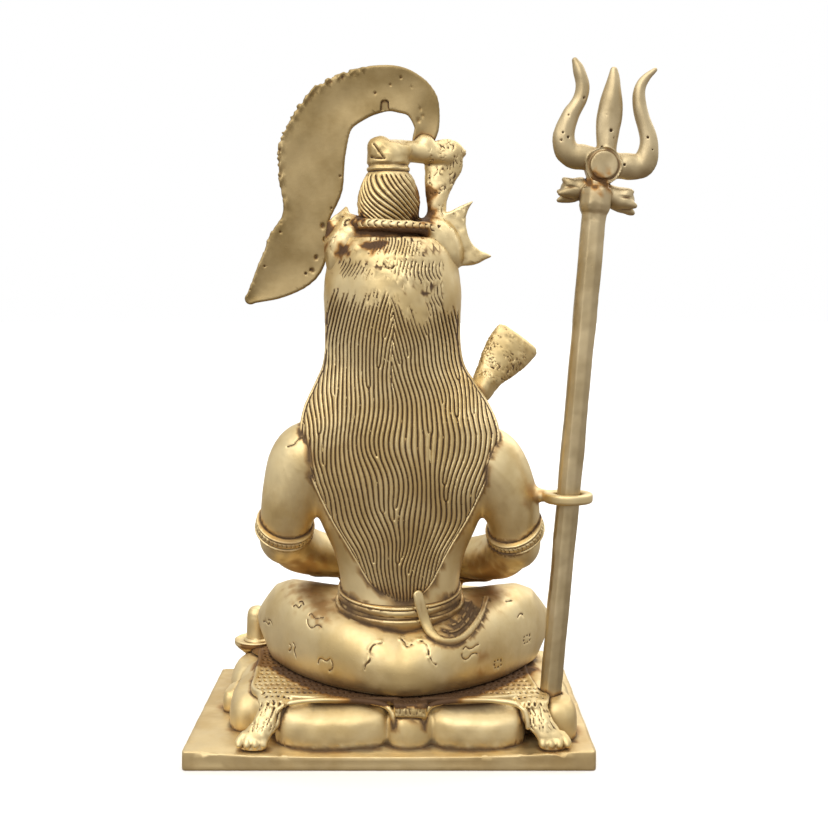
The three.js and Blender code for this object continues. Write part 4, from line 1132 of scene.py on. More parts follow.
def make_head():
    """The head without its hair: neck, ears with rings, and the face."""
    clay = Clay((-27, -27, 122), (33, 30, 190), 0.3, **ON_FIGURE)
    clay.add(ball((HEAD_X, SKULL["y"], SKULL["z"]), (SKULL["x"], SKULL["deep"], SKULL["high"])))
    clay.add(ball((HEAD_X, -4, 144), (14, 13.5, 11)), blend=7)
    neck = [(118, 12.2, 9.2, 1, 11), (126, 13.2, 10.9, 1.6, 10.6), (134, 13.8, 12.2, 2.2, 9.8),
            (150, 14, 12, 3, 9)]
    clay.add(loft(neck), blend=2.5)
    clay.add(ball((HEAD_X, -15.0, 137.6), (4.8, 4.2, 3.6)), blend=3.5)
    clay.add(ball(on_face(0, 147, -2.4), (7.0, 4.0, 5.6)), blend=4)
    for side in (1, -1):
        clay.add(ball(on_face(side * 9.5, 152.5, -4.6), (6.5, 5.5, 6.5)), blend=5)
        clay.cut(ball(on_face(side * 7.7, 163.0, 1.7), (5.8, 3.0, 3.2), (0, 0, side * 0.25)), blend=3)
        clay.add(ball(on_face(side * 7.9, 161.2, -3.0), (5.3, 3.6, 3.2), (0, 0, side * 0.3)), blend=1.0)
        ear = [[21.4, 0.5, 163.5, 1.6], [23.4, -1.6, 165.4, 1.5], [24.2, 0.8, 166.0, 1.4],
               [24.4, 3.4, 162.6, 1.4], [24.0, 2.6, 157.5, 1.3], [23.6, 0.0, 153.0, 1.7],
               [23.4, -1.2, 149.4, 2.1]]
        clay.add(chain(at_head(mirrored(ear, side)), 5), blend=0.8)
        clay.add(ball((HEAD_X + side * 21.6, 0.6, 159), (2.2, 3.0, 6.0)), blend=1.0)
        clay.add(ball((HEAD_X + side * 22.4, -1.6, 158.2), (1.2, 1.1, 2.0)), blend=0.6)
        middle = (HEAD_X + side * 23.6, -1.6, 147.0)
        clay.add(hoop(middle, 3.0, 3.0, round_section(0.85), 1.2, (0, QUARTER_TURN, 0)), blend=0.3)
        clay.add(ball(on_face(side * 2.5, 155.4, 1.1), (1.7, 2.0, 1.6)), blend=0.8)
    nose = [[0, 165.0, -1.5, 1.3], [0, 161.5, 0.2, 1.4], [0, 157.5, 1.9, 1.8], [0, 155.6, 2.5, 2.1]]
    face_line(clay, nose, blend=1.7)
    for side in (1, -1):
        clay.cut(ball(on_face(side * 1.5, 153.9, 2.3), (0.7, 0.9, 0.7)), blend=0.4)
    upper = [[-5.2, 148.2, 0.6, 0.5], [-2.4, 148.8, 1.6, 1.1], [0, 148.3, 2.0, 1.1], [2.4, 148.8, 1.6, 1.1],
             [5.2, 148.2, 0.6, 0.5]]
    lower = [[-4.6, 147.0, 0.8, 0.5], [-2.0, 145.4, 1.6, 1.35], [2.0, 145.4, 1.6, 1.35],
             [4.6, 147.0, 0.8, 0.5]]
    face_line(clay, upper, blend=0.6)
    face_line(clay, lower, blend=0.6)
    face_line(clay, [[0, 151.6, 1.6, 0.4], [0, 149.9, 2.1, 0.5]], blend=0.8, cut=True)
    face_line(clay, [[-1.6, 141.6, -0.4, 0.9], [1.6, 141.6, -0.4, 0.9]], blend=2.0, cut=True)
    third_eye(clay)
    for line, depth, width in FACE_LINES:
        strokes = [[(HEAD_X + side * x, z) for x, z in line] for side in (1, -1)]
        clay.press((HEAD_X - 17, -27, 143), (HEAD_X + 17, -8, 172), drawn(strokes, depth, width))
    creases = [[(2 + x, level + 0.02 * x * x) for x in (-7.5, -4, 0, 4, 7.5)] for level in (127.6, 131.4)]
    clay.press((-10, -8, 124), (14, 6, 135), drawn(creases, 0.28, 0.6))
    return clay


def third_eye(clay):
    """An upright eye on the forehead, between three drawn lines."""
    for level in (171.2, 173.8, 176.4):
        for side in (1, -1):
            line = [[side * 2.6, level, 0.1, 0.33], [side * 6.5, level + 0.3, 0.1, 0.36],
                    [side * 10.0, level - 0.3, 0.1, 0.3]]
            face_line(clay, line, blend=0.3, cut=True)
    clay.add(ball(on_face(0, 173.8, -0.2), (1.5, 1.0, 2.9)), blend=0.4)
    rim = [[1.9 * math.sin(a), 173.8 + 3.4 * math.cos(a), 0.0, 0.3] for a in np.linspace(0, 2 * math.pi, 13)]
    face_line(clay, rim, blend=0.25, cut=True, per_span=2)


# Long hair and the cap of hair

# Rows of height, half width, height at the middle, fall to the edges, and middle
HAIR_ROWS = (
    (37.6, 5.0, 32, 0.5, -1), (39.4, 8.6, 32.2, 0.8, -0.9), (42.4, 12.0, 32.6, 1.4, -0.6),
    (46.6, 14.8, 33.2, 2.0, -0.4), (58, 21.0, 34.2, 3.6, 0), (72, 29.4, 35.5, 7, 0),
    (86, 36, 36.5, 9.5, 0), (98, 40.5, 36.5, 12, 0), (107, 41, 36, 14, 0), (116, 38.4, 35, 17, 1),
    (126, 33, 34.5, 20, 2), (133, 29.5, 34.5, 22, 2.6), (143, 28.3, 35, 24, 3), (157, 28.3, 35, 25, 3),
    (169, 28, 34, 25, 3), (179, 25.5, 31, 21, 3), (184.8, 21, 26, 16, 3),
)
HAIR_LINE = spline(HAIR_ROWS, 8)
PARTING_X = 2.6
# Heights of the bands of short strokes below the knot
BAND_TOP = 185.0
BAND_MIDDLE = 175.8
BAND_FOOT = 166.4


def hair_at(z):
    """Half width, height at the middle, fall to the edges, and middle of the hair at a level."""
    return [np.interp(z, HAIR_LINE[:, 0], HAIR_LINE[:, i]) for i in range(1, 5)]


def long_hair():
    """The sheet of hair down the back, higher in the middle than at its edges."""
    def distance(x, y, z):
        half, back, drop, shift = hair_at(z)
        share = np.abs(x - shift) / half
        surface = back - drop * np.minimum(share, 1.2) ** 2.4
        depth = np.minimum(6, half * 0.3)
        side = np.abs(x - shift) - half
        ends = np.maximum(HAIR_LINE[0, 0] - 1 - z, z - HAIR_LINE[-1, 0])
        sheet = np.maximum(y - surface, back - drop - depth - y)
        return np.maximum(rounded(sheet, side, 0.9), ends)

    low = np.array([-42, 0, HAIR_LINE[0, 0] - 1.0])
    high = np.array([46, 38, HAIR_LINE[-1, 0]])
    return Form(low, high, distance, False)


# Number of places where a combed groove becomes two
HAIR_BRANCHES = 26


def branches(x, z, count, seed):
    """A phase with places where one groove becomes two."""
    random = np.random.default_rng(seed)
    total = 0.0
    for _ in range(count):
        at_z = random.uniform(48, 158)
        half, _, _, shift = hair_at(at_z)
        at_x = shift + random.uniform(-0.85, 0.85) * half
        way = random.choice((-1, 1))
        total = total + way * np.arctan2(x - at_x, (z - at_z) * way) / (2 * math.pi)
    return total


def back_grooves(x, y, z):
    """Depth of the combed grooves on the back of the hair."""
    spread = np.interp(z, [38, 60, 85, 105, 120, 135, 150, 170],
                       [0.60, 0.82, 0.98, 1.0, 0.94, 0.88, 0.86, 0.86])
    half, _, _, shift = hair_at(z)
    pitch = 2.0 * spread
    across = x - shift
    wave = 1.5 * ripple(x * 0.55, 0, z, 30, 73)
    wave = wave + 0.45 * np.sin(z / 4.6 - x / 7 + 1.7) * step_up(-z, -125, -90)
    wave = wave * step_up(-z, -150, -118) * step_up(z, 40, 62)
    seam = x - PARTING_X - 0.5 * np.sin(z / 5)
    drawn_in = 6.0 * np.clip((z - 116) / 34, 0, 1.4) ** 2 * np.where(seam > 0, 1, -1)
    phase = (across + wave + drawn_in) / pitch + 0.5 + branches(x, z, HAIR_BRANCHES, 71)
    lines = groove_profile(phase, 2.0, 0.34)
    edge = step_up(half - np.abs(across), 0.9, 1.5)
    border = 0.8 * bump(half - np.abs(across), 1.2, 0.42) * step_up(-z, -160, -150)
    ragged = 2.2 * np.sin(2.39 * np.round(phase)) + 1.2 * np.sin(x / 3)
    start = 162 - 4.5 * step_up(-across, -3, 3) + ragged
    top = step_up(start - z, -1, 6)
    worn = 1 - 0.9 * bump(across, -12, 4) * bump(z, 152.5, 5)
    rounding = 0.12 * np.cos(2 * math.pi * phase)
    parting = 0.7 * bump(seam, 0, 0.42) * step_up(z, 121, 128) * step_up(-z, -157, -150)
    combed = (0.80 * lines + rounding) * edge * top * worn
    return np.maximum(combed, np.maximum(border, parting)) * step_up(y, 9, 12)


# A small mark like a leaf on the crown
LEAF = (((6.0, 173.8), (4.9, 172.3), (3.2, 171.9), (1.7, 172.9)),)


def crown_strokes(x, y, z):
    """Depth of the rows of short curved strokes below the knot, ever fainter to the right."""
    across = x - HEAD_X
    total = 0.0
    rows = ((BAND_TOP, BAND_MIDDLE, 1.25, 0.14, 1, 0.6), (BAND_MIDDLE, BAND_FOOT, 1.4, 0.2, 2, 0.6),
            (BAND_FOOT + 1, 156, 1.4, 0.12, 3, 0.45))
    for top, foot, pitch, lean, seed, depth in rows:
        down = np.clip((top - z) / (top - foot), 0, 1)
        line = across * (1 - lean * down ** 2) + 0.9 * np.sin(down * 3.4 + seed) + 0.5 * pitch
        number = np.round(line / pitch)
        ragged = 0.9 * np.sin(2.39 * number + seed) + 0.9 * np.sin(across / 4.1 + seed)
        inside = step_up(top + ragged - z, 0.0, 1.6) * step_up(z - foot - 0.8 * ragged, 0.0, 3.0)
        uneven = 0.75 + 0.35 * np.sin(across / 5 + 2 * seed)
        if seed > 2:
            uneven = uneven * step_up(-across, -2, 4)
        total = total + depth * uneven * groove_profile(line / pitch, pitch, 0.27) * inside
    for level in (BAND_MIDDLE, BAND_FOOT):
        ledge = level + 0.8 * np.sin(across / 4.1 + 1) + 0.5 * np.sin(across / 1.9)
        total = total + 0.12 * step_up(ledge - z, -0.4, 0.8) * step_up(z, level - 7, level)
    worn = 1 - 0.85 * bump(across, 14, 10) * bump(z, 165.0, 5)
    worn = worn * step_up(across, -23, -19) * (1 - step_up(across, 19, 23) * step_up(z, 166, 172))
    leaf = drawn(LEAF, 0.6, 0.42, lip=0.2)(x, y, z)
    return (total * worn + leaf) * step_up(y, 9, 12)


def cap_strands(x, y, z):
    """Depth of the strands combed from the face up to the knot, on the front and the sides."""
    angle = np.arctan2(y - 6, x - HEAD_X)
    strands = 84
    radius = np.hypot(y - 6, x - HEAD_X)
    phase = angle * strands / (2 * math.pi) + 0.5 * np.sin(z / 7 + 3 * angle)
    lines = groove_profile(phase, 2 * math.pi * radius / strands, 0.34)
    return (0.6 * lines + 0.1 * np.cos(2 * math.pi * phase)) * step_up(-y, -9, -6) * step_up(radius, 15, 18)


def make_hair():
    """The hair down the back and round the head, combed, with locks over the forehead."""
    low, high = (-43, -17, 34), (47, 39, 191)
    clay = Clay(low, high, 0.35, **ON_FIGURE)
    clay.add(long_hair())
    clay.add(ball((HEAD_X, 8, 161), (28.3, 22.5, 27)), blend=1.5)
    opening = slab([[-42, -43], [48, -43], [48, -7], [-42, -7]], 158, 18, 6)
    clay.cut(opening, blend=1.0)
    lock = [[1.0, -15.0, 178.5, 1.9], [9, -13.2, 177.8, 2.1], [17, -9.0, 174.5, 2.2],
            [22.5, -5.6, 168.0, 2.1], [24.6, -4.8, 160, 1.8], [24.6, -4.0, 153, 1.4]]
    for side in (1, -1):
        clay.add(chain(at_head(mirrored(lock, side)), 6), blend=0.8)
    clay.press(low, high, back_grooves)
    clay.press((-43, -17, 150), high, crown_strokes)
    clay.press((-43, -17, 134), (47, 10, 191), cap_strands)
    clay.press(low, high, waves((0.10, 15, 72)))
    return clay


# Knot of hair, its snake, the moon and the small head of the river

def knot_form():
    """The knot with its tie and its cap, as one turned form."""
    profile = [[0, 178], [14.6, 178], [15.4, 184], [14.8, 187.6], [12.2, 188.6], [11.6, 191], [12.6, 195],
               [13.0, 199.5], [12.4, 204], [10.7, 208.6], [9.2, 211.2], [8.3, 212.0], [8.9, 212.6],
               [9.0, 213.4], [8.3, 214.0], [8.2, 214.8], [8.9, 215.6], [8.8, 219], [7.6, 221.6],
               [5.8, 223.4], [3.0, 224.2], [0, 224.4]]
    return lathe(profile, (HEAD_X + 1.6, 6, 0))


def knot_grooves(x, y, z):
    """Depth of the grooves that wind up the knot."""
    angle = np.arctan2(y - 6, x - HEAD_X - 1.6)
    strands = 27
    swirl = 0.075 * (z - 200) - 0.0025 * (z - 203) ** 2
    phase = strands / (2 * math.pi) * (angle + swirl) + 0.2 * np.sin(angle * 5 + z / 5)
    radius = np.hypot(y - 6, x - HEAD_X - 1.6)
    lines = groove_profile(phase, 2 * math.pi * 12 / strands, 0.42)
    level = step_up(z, 186, 190) * step_up(-z, -211.2, -209.2)
    shell = step_up(radius, 5, 8) * step_up(-radius, -14.2, -13.6)
    return (0.85 * lines + 0.15 * np.cos(2 * math.pi * phase)) * level * shell


COIL_Z = 189.8
COIL_TILT = 0.065


# Outline of the flap that joins the snake's tail to the crown and the stream: places across, and heights
TAIL_FLAP = ((20.8, 196.0), (24.0, 194.6), (27.2, 191.6), (27.6, 184.0), (24.0, 176.0), (14.0, 177.0),
             (13.0, 187.0), (17.0, 190.0), (19.0, 193.0))


def coil(clay):
    """The snake round the foot of the knot, its tail at the left and its hood at the right."""
    ring_turn = (-0.03, -COIL_TILT, 0)
    clay.add(hoop((HEAD_X - 0.2, 6, COIL_Z), 16.2, 16.2, round_section(2.55), 3.2, ring_turn), blend=0.3)
    hood = [[-18.4, 3, 187, 4.4, 3.6], [-18.5, 2.6, 196, 4.0, 3.2], [-18.7, 2, 203, 4.9, 3.0],
            [-19.8, 1, 210, 6.4, 2.8], [-21.6, 0, 216.4, 7.9, 2.8], [-22.8, 0, 219.4, 6.8, 2.8]]
    clay.add(chain(at_head(hood), 7, thin=(0, 1, 0)), blend=0.9)
    lip = [[-15, 0.6, 221.2, 2.4], [-19, 0.2, 223.4, 2.2], [-25, -0.4, 223.4, 2.2], [-29.2, -0.4, 220.6, 1.9]]
    clay.add(chain(at_head(lip), 6), blend=1.0)
    tail = [[14, 11.5, 191.0, 2.6], [17.6, 9.0, 191.6, 3.2], [19.6, 6.6, 193.2, 2.8],
            [19.6, 5.4, 195.8, 1.6], [19.3, 5.0, 197.4, 0.8]]
    clay.add(chain(at_head(tail), 6), blend=1.2)
    flap = np.array(TAIL_FLAP) + [HEAD_X, 0]
    clay.add(slab(flap, 5.0, 2.4, 1.2, axis=1), blend=1.5)
    for x, y, z, radii in ((19.0, 7.0, 182.0, (8.6, 10.5, 9.0)), (22.4, 7.0, 176.0, (5.6, 10.0, 9.0)),
                           (-16.5, 5.5, 184.0, (11.0, 10.5, 9.5)), (-22.0, 5.5, 178.0, (7.6, 9.0, 8.0))):
        clay.add(ball((HEAD_X + x, y, z), radii), blend=3.5)


def coil_scales(x, y, z):
    """Small crescent punches along the coil."""
    angle = np.arctan2(y - 6, x - HEAD_X + 0.2)
    radius = np.hypot(y - 6, x - HEAD_X + 0.2)
    punches = 36
    share = angle * punches / (2 * math.pi)
    along = (share - np.round(share)) * 2 * math.pi * 16.4 / punches
    up = z - COIL_Z - COIL_TILT * (x - HEAD_X)
    ring = np.abs(np.hypot(along, up * 0.8) - 0.95)
    crescent = np.exp(-(ring / 0.28) ** 2) * step_up(-along, -0.6, 0.2)
    return 0.6 * crescent * step_up(-np.abs(radius - 19), -2.2, -1.4) * step_up(-np.abs(up), -1.6, -1.3)


# Outline of the crescent moon and of its root on the hair: places across from the head's middle, and heights
MOON = ((-33.6, 200.2), (-28.4, 198.4), (-24.0, 196.2), (-18.0, 194.0), (-15.0, 188.0), (-16.5, 178.0),
        (-22.0, 173.2), (-28.0, 173.4), (-34.2, 174.0), (-38.4, 175.8), (-41.4, 177.6), (-36.4, 180.0),
        (-32.6, 184.0), (-30.6, 190.0), (-31.2, 195.4), (-33.6, 200.2))


def moon(clay):
    """The crescent moon, thin, its horns to the right and up."""
    outline = spline(MOON, 5)[:-1] + [HEAD_X, 0]
    clay.add(slab(outline, 4.0, 1.9, 1.0, axis=1), blend=1.6)


def river_head(clay):
    """The small head from which the river springs, and the link that joins it to the knot."""
    middle = np.array([HEAD_X - 13.5, 1.0, 223.0])
    clay.add(ball(middle, (4.6, 4.6, 5.0)), blend=1.2)
    link = [[-2, 5, 220.8, 4.4], [-8, 3.0, 220.8, 4.4], [-14, 1.6, 220.2, 4.4], [-22, 0.6, 218.6, 4.0]]
    clay.add(chain(at_head(link), 6), blend=1.6)
    clay.add(ball(middle + [0, -4.4, -1.0], (1.0, 1.2, 1.5)), blend=0.5)
    for side in (1, -1):
        clay.cut(ball(middle + [side * 1.8, -4.3, 0.6], (1.1, 0.7, 0.6)), blend=0.3)
    mouth = [[*(middle + [across, -4.6, -3.0]), 0.25] for across in (-1.4, 1.4)]
    clay.cut(chain(mouth, 2), blend=0.2)


# Lines on the back of the cap, as places across and heights
CAP_FOLDS = (((10.6, 222.8), (8.8, 220.4), (6.6, 217.4)), ((6.0, 216.8), (9.0, 216.9), (11.6, 217.6)))


def make_hair_knot():
    """The knot with its cap, the small head, the snake round it, and the moon."""
    low, high = (-47, -20, 172), (34, 27, 230)
    clay = Clay(low, high, 0.35, **ON_FIGURE)
    clay.add(knot_form(), blend=0.3)
    clay.add(ball((HEAD_X + 5.0, 6.5, 221.6), (5.6, 7.6, 5.2)), blend=1.5)
    clay.add(ball((HEAD_X - 2.4, 6, 220.6), (5.6, 6.4, 4.4)), blend=1.5)
    clay.press((-10, 6, 214), (18, 24, 228), drawn(CAP_FOLDS, 0.55, 0.36))
    river_head(clay)
    coil(clay)
    moon(clay)
    clay.press((-20, -20, 184), (24, 27, 212), knot_grooves)
    clay.press((-20, -20, 186), (24, 27, 196), coil_scales)

    def rough(x, y, z):
        """Rough casting on the hood, the cap and the moon's root."""
        hood = step_up(-x, 11.0, 13.0) * step_up(z, 188, 196)
        cap = 0.3 * step_up(z, 216.5, 218)
        lumps = step_up(x, 20, 24) * step_up(z, 174, 180)
        broken = step_up(ripple(x, y, z, 4.5, 83), -0.4, 0.4)
        pitted = 0.36 * worm_marks(x, y, z, 2.7, 82) * broken * np.maximum(hood, np.maximum(cap, 0.7 * lumps))
        return pitted + 0.12 * ripple(x, y, z, 8, 81) + 0.06 * ripple(x, y, z, 3.6, 84) * step_up(z, 172, 178)

    clay.press(low, high, rough)
    return clay


# River stream

# Its middle line from the small head over and down, as [x, z, half width]
STREAM = (
    (-13.8, 226, 4.6), (-15.2, 232, 5.4), (-13, 240.3, 7.4), (-7, 245.4, 9), (1.8, 247.2, 9.45),
    (14.4, 244.4, 10.6), (26, 237, 12.0), (32.8, 222, 14.2), (33.4, 207, 13.4), (35.6, 194, 10),
    (38.4, 184, 12.5), (41.8, 176, 13), (50.4, 167.2, 8.8), (59.5, 159.6, 2.4),
)
# Flaws in the casting: [x, z, size]
STREAM_FLAWS = (
    (-12.6, 238.6, 1.0), (-11.8, 234.0, 1.3), (-13.4, 235.8, 0.8), (-13.6, 252.8, 1.3), (-16.8, 249.6, 0.8),
    (-4.4, 251.4, 0.6), (28.6, 190.2, 1.2), (27.6, 184.6, 0.9), (31.4, 177.0, 1.1), (33.0, 171.6, 1.0),
)
STREAM_Y = -1.0
STREAM_THICKNESS = 4.4


def stream_place(x, z):
    """Length along the stream, and distance from its middle line to the outside, for places in its plane."""
    line = spline(STREAM, 5)
    best = np.full(np.broadcast(x, z).shape, 1e6, np.float32)
    along, aside, length = np.zeros_like(best), np.zeros_like(best), 0.0
    for (ax, az, _), (bx, bz, _) in zip(line, line[1:]):
        ex, ez = bx - ax, bz - az
        size = math.hypot(ex, ez)
        t = np.clip(((x - ax) * ex + (z - az) * ez) / size ** 2, 0, 1)
        dx, dz = x - ax - t * ex, z - az - t * ez
        square = dx ** 2 + dz ** 2
        nearer = square < best
        best = np.where(nearer, square, best)
        along = np.where(nearer, length + t * size, along)
        aside = np.where(nearer, np.sign(ex * dz - ez * dx) * np.sqrt(square), aside)
        length += size
    return along, aside


def stream_half(along):
    """Half the width of the stream at lengths along it."""
    line = spline(STREAM, 5)
    length = np.concatenate([[0], np.cumsum(np.hypot(*np.diff(line[:, :2], axis=0).T))])
    return np.interp(along, length, line[:, 2])


def make_river_stream():
    """The flat stream, dished behind, with a rough outer rim and lines of water in front."""
    low, high = (-26, -4.2, 156), (64, 2.2, 260)
    clay = Clay(low, high, 0.34, origin=(0, 0, SEAT), unit=UNIT)
    head_x = FIGURE_X / UNIT + HEAD_X

    def distance(x, y, z):
        along, aside = stream_place(x, z)
        half = stream_half(along)
        rough_edge = step_up(along, 38, 46) * (0.25 + 0.75 * step_up(-along, -92, -80)) * step_up(aside, 2, 5)
        scallop = step_up(ripple(x, 0, z, 2.6, 95), -1.2, 1.2) * rough_edge
        flat = np.abs(aside) - half + scallop
        share = np.clip(np.abs(aside) / half, 0, 1)
        dish = STREAM_Y - 1.2 * (1 - share ** 1.7)
        thick = STREAM_THICKNESS / 2 * (1 - 0.2 * share ** 2)
        return rounded(flat, np.abs(y - dish) - thick, 1.1)

    clay.add(Form(np.array([-24.0, -4, 158]), np.array([62.0, 2, 258]), distance, True))
    clay.cut(ball((head_x, 8, 161), (28.6, 22.8, 27.3)), blend=0.2)
    clay.cut(ball((head_x - 13.5, 1, 223), (4.3, 4.2, 4.7)), blend=0.2)
    outline = [[-1.7, -2.6], [1.9, -2.6], [1.8, 0.8], [1.1, 1.7], [-0.6, 1.9], [-1.6, 1.2]]
    notch = slab(outline, 0, 1.5, 0.1, axis=1)
    clay.cut(placed(notch, (2.2, 0.9, 240.4), 1.0, np.eye(3)), blend=0.2)

    def water_lines(x, y, z):
        """Wavy lines drawn along the front of the stream."""
        along, aside = stream_place(x, z)
        half = stream_half(along)
        phase = aside / half * 2.4 + 0.25 * np.sin(along / 5)
        inside = step_up(-np.abs(aside) + half, 1.5, 3)
        return 0.55 * groove_profile(phase, 4.0, 0.34) * inside * step_up(-y, 1.5, 2.2)

    def hammered(x, y, z):
        along, aside = stream_place(x, z)
        half = stream_half(along)
        rim = bump(half - aside, 1.0, 1.5) * step_up(along, 34, 44) * (0.3 + 0.7 * step_up(-along, -96, -82))
        lumps = 0.5 * rim * (ripple(x, y, z, 2.6, 94) - 0.4)
        return lumps + 0.09 * ripple(x, y, z, 17, 91) + 0.03 * ripple(x, y, z, 6, 92)

    clay.press(low, high, water_lines)
    clay.press(low, high, hammered)
    random = np.random.default_rng(93)
    line = spline(STREAM, 5)
    for _ in range(STREAM_PITS):
        x, z, half = line[random.integers(18, len(line) - 2)]
        side = random.choice((-1, 1))
        x, z = x + random.uniform(0.88, 1.0) * half * side, z + random.uniform(-3, 3)
        size = random.uniform(0.3, 0.65)
        clay.cut(ball((x, random.uniform(0.2, 1.3), z), (size, size, size)), blend=0.3)
    for x, z, size in STREAM_FLAWS:
        clay.cut(ball((x, 1.1, z), (size, 1.4, size * 1.3)), blend=0.4)
    return clay


# Trident, in a frame of its own along its rod: its prongs spread along X, and its back is +Y

# Height of the prongs' foot above the rod's, and their thickness
HEAD_AT = 223.0
PRONG_THICKNESS = 6.4
# The left, the right and the middle prong as seen from behind, as [across, height, half width]
PRONGS = (
    ((6, 0, 5.2), (-5, 2.2, 5.2), (-12.2, 3.2, 5.2), (-15.4, 9.5, 4.6), (-13.6, 18.5, 3.5), (-10, 26, 3.0),
     (-9.6, 32, 2.8), (-11.6, 37.6, 2.4), (-13.6, 41.3, 1.3)),
    ((0, 0, 5.2), (11, 0.2, 5.4), (17.8, 1.5, 5.2), (19.8, 9, 4), (17.6, 17, 3.2), (14.4, 25, 2.9),
     (14, 32, 2.4), (16.5, 37.2, 1.7), (19.6, 40.4, 0.9)),
    ((3, 0, 4), (2.6, 8, 4.2), (2.5, 15, 5.0), (2.7, 21, 5.2), (2.8, 28, 4.2), (2.9, 34, 2.8),
     (2.6, 38.8, 1.5)),
)


def rod_form():
    """The rod: eight hammered flats, a little wider at the top, and a sleeve under the prongs."""
    stations = [0, 60, 200, 202.5, 204.0, 206.0, 210.5, 212.5, 214, 223, 226]
    radii = [4.3, 4.5, 4.95, 5.1, 5.9, 6.4, 6.3, 6.0, 4.6, 4.6, 3.5]

    def distance(x, y, z):
        radius = np.interp(z, stations, radii)
        best = np.float32(0)
        turn = 0.05 * np.sin(z / 40)
        for k in range(4):
            angle = math.pi * k / 4 + turn
            best = np.maximum(best, np.abs(x * np.cos(angle) + y * np.sin(angle)))
        near = smooth_max(best, np.hypot(x, y) * 0.94, 0.1)
        return np.maximum(near - radius, np.maximum(-z, z - 226))

    return Form(np.array([-7.0, -7, 0]), np.array([7.0, 7, 226]), distance, True)


def drum(clay):
    """The small drum tied under the prongs, its ends like worn flowers."""
    y = -3.4
    petals = 5
    for side, x, z, radius in ((1, 8.8, 212.2, 5.2), (-1, -10.6, 209.8, 5.4)):
        cup = [[side * 2, -3, 213, 3.6], [x - side * 3, -3.2, z + 1.0, radius - 0.8],
               [x + side * 0.8, y, z, radius - 0.2]]
        clay.add(chain(cup, 5), blend=0.8)
        for k in range(petals):
            angle = 2 * math.pi * k / petals - 0.5
            back, lift = radius * math.cos(angle), radius * math.sin(angle)
            reach = 5.8 if lift < 0 else 4.2
            petal = [[x, y + back * 0.45, z + lift * 0.45, 2.4],
                     [x + side * reach * 0.6, y + back * 0.65, z + lift * 0.7, 1.9],
                     [x + side * reach, y + back * 0.7, z + lift * 0.9, 1.0]]
            clay.add(chain(petal, 4), blend=0.8)
            back, lift = radius * math.cos(angle + 0.63), radius * math.sin(angle + 0.63)
            crease = [[x - side * 1, y + back * 1.02, z + lift * 1.02, 0.5],
                      [x + side * 4.4, y + back * 0.9, z + lift * 0.9, 0.9]]
            clay.cut(chain(crease, 3), blend=0.4)
    for x in (4.9, -6.0):
        clay.cut(hoop((x, -3, 212.0), 5.6, 5.6, round_section(0.5), 1.0, (0, QUARTER_TURN, 0)), blend=0.3)


def make_trident():
    """Rod, prongs, boss and drum."""
    clay = Clay((-26, -12, -1), (22, 9, 268), 0.36, origin=ROD_FOOT, axes=rod_axes())
    clay.add(rod_form())
    clay.press((-26, -12, -1), (22, 9, 202), waves((0.11, 19, 101), (0.03, 6, 102)))
    for stations in PRONGS:
        rows = []
        for across, up, half in stations:
            rows.append([-across, 0, HEAD_AT + up, half, min(PRONG_THICKNESS / 2, half * 0.9)])
        clay.add(chain(rows, 7, thin=(0, 1, 0), power=1.75), blend=1.0)
    drum(clay)
    boss_at = (-1.7, HEAD_AT - 0.6)
    clay.add(slab(superellipse(7.5, 7.5, 2.0, 40, boss_at), 0.6, 3.2, 0.5, axis=1), blend=0.6)
    clay.add(slab(superellipse(5.8, 5.8, 2.1, 40, boss_at), 0.6, 3.9, 0.8, axis=1), blend=0.1)
    groove = hoop((boss_at[0], 3.8, boss_at[1]), 6.5, 6.5, round_section(0.9), 1.3, (QUARTER_TURN, 0, 0))
    clay.cut(groove, blend=0.2)
    clay.press((-26, -12, 200), (22, 9, 268), waves((0.10, 8, 103), (0.05, 4, 104)))
    random = np.random.default_rng(105)
    for _ in range(TRIDENT_PITS):
        stations = spline(PRONGS[random.integers(0, 3)], 5)
        across, up, half = stations[random.integers(4, len(stations) - 4)]
        size = random.uniform(0.3, 0.65)
        aside = random.uniform(-0.6, 0.6) * half
        out = random.choice((-1, 1)) * random.uniform(2.0, 3.0)
        clay.cut(ball((-across + aside, out, HEAD_AT + up), (size, size, size)), blend=0.25)
    return clay


# Meshes from clay

def components(count, faces):
    """A label for each vertex, the same for all that are joined by faces."""
    label = np.arange(count)
    while True:
        lowest = label[faces].min(axis=1)
        fresh = label.copy()
        for column in range(faces.shape[1]):
            np.minimum.at(fresh, faces[:, column], lowest)
        fresh = fresh[fresh]
        if np.array_equal(fresh, label):
            return label
        label = fresh


def without_specks(points, triangles, quads, smallest):
    """The mesh without loose bits of fewer vertices than smallest."""
    faces = np.vstack([triangles[:, [0, 1, 2, 2]], quads]).astype(int)
    label = components(len(points), faces)
    sizes = np.bincount(label, minlength=len(points))
    keep = sizes[label] >= smallest
    number = np.cumsum(keep) - 1
    triangles = number[triangles[keep[triangles[:, 0]]]]
    quads = number[quads[keep[quads[:, 0]]]]
    return points[keep], triangles, quads


def crowding(clays):
    """Coarse clays that say how much of the whole object is near: a half on a flat, more in a crease."""
    near = Clay((-116, -60, -4), (90, 60, 290), 1.1)
    for clay in clays:
        for form, blend in clay.forms:
            near.add(form, blend)
    near.field = softened(np.clip(0.5 - near.field / near.pitch, 0, 1), 6)
    wide = Clay(near.low, near.low + 2, 2 * near.pitch)
    wide.field = softened(near.field[::2, ::2, ::2], 7)
    return near, wide
